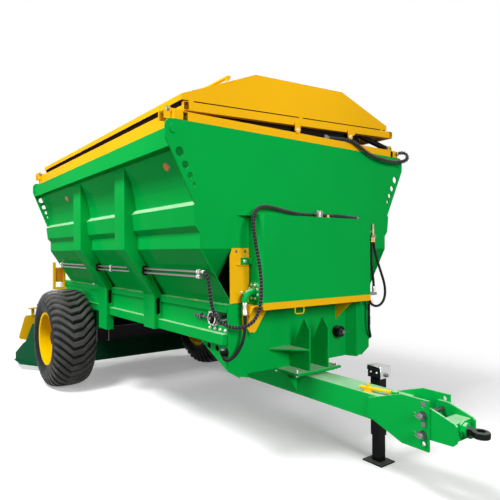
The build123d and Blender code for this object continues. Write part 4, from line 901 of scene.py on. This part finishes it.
def add_posts():
    posts = Shape("post_shells", GREEN)
    dark = Shape("post_slot_painted_shade", SHADOW_GREY)
    for side in (-1, 1):
        for back, front, foot in POSTS:
            outline = [at(-back, side * half, foot if z is None else z) for half, z in POST_OUTLINE]
            posts.slab(outline, (1, 0, 0), back - front)
            # painted shade: a dark plate in each post's slot for the shade inside it
            dark.flank(side, (-front - 0.012, 0.784, 1.022), (-front - 0.007, 0.831, 1.178), 0.001)
    shells = posts.done()
    cuts = []
    for side in (-1, 1):
        for back, front, _ in POSTS:
            corners = []
            for n in range(24):
                angle = 2 * pi * n / 24
                lift = SLOT_ABOVE if sin(angle) > 0 else SLOT_BELOW
                corners.append(at(-front - SLOT_DEPTH, side * SLOT_MIDDLE[0] + SLOT_ROUND * cos(angle),
                                SLOT_MIDDLE[1] + lift + SLOT_ROUND * sin(angle)))
            slot = Shape("slot_cut", GREEN)
            slot.slab(corners, (1, 0, 0), 0.04)
            cuts.append(slot.made())
            for height in PIPE_ROWS:
                hole = Shape("pipe_cut", GREEN)
                hole.turned(at(-back - 0.02, side * PIPE_ACROSS, height), (1, 0, 0),
                            [(0, 0.0265), (back - front + 0.04, 0.0265)], 28)
                cuts.append(hole.made())
    cut(shells, cuts)
    soften(shells, 0.0025, 28)
    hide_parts("side_posts")
    dark.done()


# the roof seen from the front: across the cover, above its level
ROOF = [(0.086, 0.062), (0.086, 0.102), (0.732, 0.328), (1.678, 0.331), (2.27, 0.102), (2.27, 0.062)]
ROOF_LENGTH = 3.425


def add_roof():
    roof = Shape("roof_sheets", YELLOW, "cover")
    sheet = 0.003
    inner = [(0.089, 0.062), (0.089, 0.1), (0.733, 0.3247), (1.677, 0.3277), (2.267, 0.1), (2.267, 0.062)]
    roof.slab([on_cover(-0.005 - ROOF_LENGTH, u, w) for u, w in ROOF + inner[::-1]], (1, 0, 0), ROOF_LENGTH)
    for x in (-0.005 - sheet, -0.005 - ROOF_LENGTH):
        roof.slab([on_cover(x, u, w) for u, w in inner], (1, 0, 0), sheet)
    shell = roof.done(20)
    soften(shell, 0.0012, 15)
    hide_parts("cover_roof")
    # a seal strip under the roof's edges, in near-black painted shade for the shadow gap beneath the eave
    seal_and_shade = Shape("roof_seal_and_shade", SHADOW_GREY, "cover")
    seal_and_shade.slab([on_cover(-0.01, u, w) for u, w in ((0.12, 0.048), (2.24, 0.048), (2.24, 0.064), (0.12, 0.064))],
              (-1, 0, 0), 0.006)
    seal_and_shade.slab([on_cover(-0.02, u, w) for u, w in ((0.103, 0.048), (0.103, 0.064), (0.109, 0.064), (0.109, 0.048))],
              (-1, 0, 0), ROOF_LENGTH - 0.03)
    edge = ((0.0965, 0.038), (0.0965, 0.0615), (0.0995, 0.0615), (0.0995, 0.03))
    seal_and_shade.slab([on_cover(-0.03, u, w) for u, w in edge], (-1, 0, 0), ROOF_LENGTH - 0.06)
    seal_and_shade.done()
    # painted shade: dark sheets under the cover's front and along its near side stand for the shade in the gap
    # beneath it
    painted_eave_shade = Shape("cover_painted_eave_shade", SHADOW_GREY, "cover")
    painted_eave_shade.slab([on_cover(-0.0525, u, w) for u, w in ((0.15, -0.004), (1.93, -0.004), (1.93, -0.08),
                                                     (0.15, -0.012))],
               (-1, 0, 0), 0.005)
    painted_eave_shade.slab([on_cover(-0.06, 0.15, w) for w in (-0.004, -0.012)]
               + [on_cover(-3.4, 0.15, w) for w in (-0.012, -0.004)], (0, 1, 0), 0.005)
    painted_eave_shade.done()


def add_hitch_head():
    head = Shape("hitch_fork", GREEN)
    outline = [(1.062, 0.604), (1.075, 0.63), (1.15, 0.629), (1.3, 0.578), (1.311, 0.565), (1.311, 0.47),
               (1.288, 0.447), (1.075, 0.438), (1.062, 0.45)]
    for side in (-1, 1):
        head.slab([at(x, side * 0.1065, z) for x, z in outline], (0, -side, 0), 0.015)
    head.box(at(1.192, -0.092, 0.462), at(1.29, 0.092, 0.572), 0.003)
    head.turned(at(1.288, 0, TOWING_HEIGHT), (1, 0, 0),
                [(0, 0.052), (0.012, 0.052), (0.014, 0.043), (0.032, 0.043), (0.036, 0.036)], 8)
    fork = head.done()
    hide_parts("hitch_head")
    shank = Shape("eye_neck", BLACK)
    shank.turned(at(1.318, 0, TOWING_HEIGHT), (1, 0, 0),
                 [(0, 0.03), (0.01, 0.03), (0.028, 0.024), (0.036, 0.0215)], 24)
    shank.done()
    pins = Shape("hitch_pin_heads_and_shade_discs", DARK_STEEL)
    rings = Shape("hitch_pin_clips", PIPE)
    x = HITCH_PINS[0]
    for height in HITCH_PINS[1]:
        pins.turned(at(x, -0.1465, height), (0, -1, 0),
                    [(0, 0.0195), (0.004, 0.021), (0.014, 0.021), (0.018, 0.018), (0.019, 0.01)], 28)
        centre = Vector(at(x, -0.171, height))
        for way in (1, -1):
            rings.rod([centre + Vector((0.02, 0.006, 0.004 * way)), centre + Vector((-0.012, 0.004, 0.008 * way)),
                       centre + Vector((-0.03, 0.002, 0.012 + 0.012 * way))], 0.0016, 8)
    # painted shade: thin dark discs on the plate stand for holes
    for height in (0.652, TOWING_HEIGHT):
        pins.turned(at(x, -0.1224, height), (0, -1, 0), [(0, 0.0155), (0.0006, 0.0155)], 28)
    pins.done()
    rings.done()


def add_guard_plate():
    plate = Shape("guard_face", YELLOW)
    face = [(-0.757, 1.2), (-0.757, 1.541), (-0.586, 1.546), (-0.586, 1.2)]
    plate.slab([at(0.0008, y, z) for y, z in face], (1, 0, 0), 0.005)
    plate.slab([at(0.0008, -0.757, 1.5412), at(0.0008, -0.737, 1.596), at(0.0008, -0.586, 1.596),
                at(0.0008, -0.586, 1.5462)], (1, 0, 0), 0.0022)
    plate.slab([at(0.006, -0.64, 1.468), at(0.006, -0.7, 1.474), at(0.006, -0.6, 1.474)],
               (1, 0, 0), 0.016)
    plate.done()
    bolts = Shape("guard_bolts", DARK_STEEL)
    for y, z in ((-0.7, 1.572), (-0.62, 1.572)):
        bolts.bolt(at(0.003, y, z), (1, 0, 0), 0.008)
    bolts.done()


def add_suction_elbow():
    elbow = Shape("suction_elbow", GREEN)
    x, y, z = FRONT + 0.07, -0.583, 1.283
    elbow.turned((x, y - 0.0003, z), (0, -1, 0), [(0, 0.066), (0.013, 0.066), (0.014, 0.064)], 40)
    elbow.turned((x, y - 0.013, z), (0, -1, 0), [(0, 0.034), (0.01, 0.034), (0.014, 0.026)], 32)
    bend = [(x, y - 0.015, z)]
    for n in range(13):
        angle = radians(90 * n / 12)
        bend.append((x, -0.612 - 0.06 * sin(angle), z - 0.06 * (1 - cos(angle))))
    bend.append((x, -0.672, 1.21))
    elbow.rod(bend, 0.0235, 28)
    pipe = elbow.done(30)
    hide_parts("suction_flange")


def add_frame_fillers():
    beam = Shape("frame_lower_rails", GREEN)
    for side in (-1, 1):
        for back, front in ((2.13, 1.22), (1.01, 0.012)):
            beam.flank(side, (-back + 0.0005, 0.7705, 0.906), (-front - 0.0005, 0.812, 0.986), 0.003)
            beam.flank(side, (-back + 0.0005, 0.7705, 1.136), (-front - 0.0005, 0.786, 1.194), 0.002)
        beam.flank(side, (-3.98, 0.7705, 1.136), (-2.362, 0.778, 1.194), 0.002)
        beam.flank(side, (-3.98, 0.7705, 0.972), (-2.362, 0.778, 0.984), 0.001)
        beam.slab([at(-0.0085, side * 0.7695, 0.93), at(-0.0085, side * 0.7695, 0.716),
                   at(-0.0085, side * 0.668, 0.656), at(-0.0085, side * 0.668, 0.7)], (1, 0, 0), 0.0075)
    beam.done()
    # painted shade: flat dark discs stand for the gusset holes; two sleeves where hoses end share the near-black
    hole_shade = Shape("gusset_hole_shade", SHADOW_GREY)
    rims = Shape("gusset_hole_rims", GREEN)
    for side in (-1, 1):
        for x, z in ((-0.25, 0.868), (-0.14, 0.864)):
            hole_shade.turned(at(x, side * 0.7702, z), (0, side, 0), [(0, 0.023), (0.0006, 0.023)], 28)
            rib_ring(rims, at(x, side * 0.7702, z), side, 0.024, 0.002, 0.0016, 28)
    hole_shade.turned(at(-0.024, -0.7705, 0.852), (0, -1, 0),
                 [(0, 0.031), (0.006, 0.031), (0.009, 0.024), (0.04, 0.022), (0.046, 0.014)], 28)
    hole_shade.turned(at(-0.046, 0.8, 0.798), (-1, 0, 0), [(-0.02, 0.0205), (0.03, 0.0205), (0.034, 0.018)], 24)
    hole_shade.done()
    rims.done()
    # painted shade: a dark block above the axle for the shaded underside of the frame
    painted_shade_filler = Shape("axle_painted_shade_filler", SHADOW_GREY)
    painted_shade_filler.box((AXLE[0] - 0.075, -0.5, 0.655), (AXLE[0] + 0.085, 0.5, 0.835), 0.006)
    painted_shade_filler.done()


def add_rear_fittings():
    lip = Shape("hood_lip", HOOD_GREEN)
    lip.box(at(-3.7145, -1.083, 0.078), at(-3.7085, 1.083, 0.15), 0.001)
    for side in (-1, 1):
        lip.slab([at(-3.712, side * 1.0815, 0.078), at(-4.25, side * 1.2265, 0.078),
                  at(-4.25, side * 1.2265, 0.15), at(-3.712, side * 1.0815, 0.15)], (0, side, 0), 0.005)
        lip.slab([at(-4.25, side * 1.2265, 0.078), at(-4.5, side * 1.262, 0.078),
                  at(-4.5, side * 1.262, 0.15), at(-4.25, side * 1.2265, 0.15)], (0, side, 0), 0.005)
        lip.slab([at(-3.8, side * 1.1, 0.074), at(-4.12, side * 1.29, 0.074),
                  at(-4.5, side * 1.29, 0.074), at(-4.5, side * 1.255, 0.074),
                  at(-4.25, side * 1.22, 0.074)], (0, 0, 1), 0.006)
    lip.done()
    flaps = Shape("flap_plates", YELLOW)
    bars = (((-4.2, 0.99, 0.69), (-4.194, 1.05, 0.86)), ((-4.2, 0.77, 0.82), (-4.194, 1.05, 0.86)),
            ((-4.2, 0.7702, 0.82), (-4.0, 0.7762, 0.86)), ((-4.2, 1.085, 0.7), (-4.188, 1.125, 0.815)),
            ((-4.2, 1.045, 0.8), (-4.16, 1.165, 0.815)))
    for side in (-1, 1):
        outline = [(0.985, 0.7), (1.005, 0.712), (1.19, 0.712), (1.212, 0.69), (1.285, 0.43), (1.268, 0.398),
                   (1.13, 0.366), (1.095, 0.372), (0.985, 0.45)]
        flaps.slab([at(-4.2, side * y, z) for y, z in outline], (1, 0, 0), 0.006)
        for low, high in bars:
            flaps.flank(side, low, high, 0.001)
    plates = flaps.done()
    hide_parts("hood_flaps")


def finish_frame():
    """Every CAD node gets the finish of its slot."""
    for row in frame["record"]["subparts"]:
        node = NODES[row["node"]]
        node.data.materials.clear()
        node.data.materials.append(FINISHES[row["material_slot"]])
    # painted shade: the guard box is near-black for the shaded inside behind its open side
    for name, finish in (("rim_left", RIM_YELLOW), ("rim_right", RIM_YELLOW), ("steel_pins", DARK_STEEL),
                         ("guard_box", SHADOW_GREY), ("pto_shaft", DARK_STEEL), ("side_pipes", PIPE)):
        NODES[name].data.materials[0] = finish


# ---- main -------------------------------------------------------------------------------
add_camera()
add_hoses()
add_stage()
finish_frame()
add_frame_bolts()
add_wheel_nuts()
add_cover_fittings()
add_reflectors()
add_tank_fittings()
add_drawbar_fittings()
add_jack_fittings()
add_axle_clamps()
add_side_details()
add_posts()
add_roof()
add_hitch_head()
add_guard_plate()
add_suction_elbow()
add_frame_fillers()
add_rear_fittings()
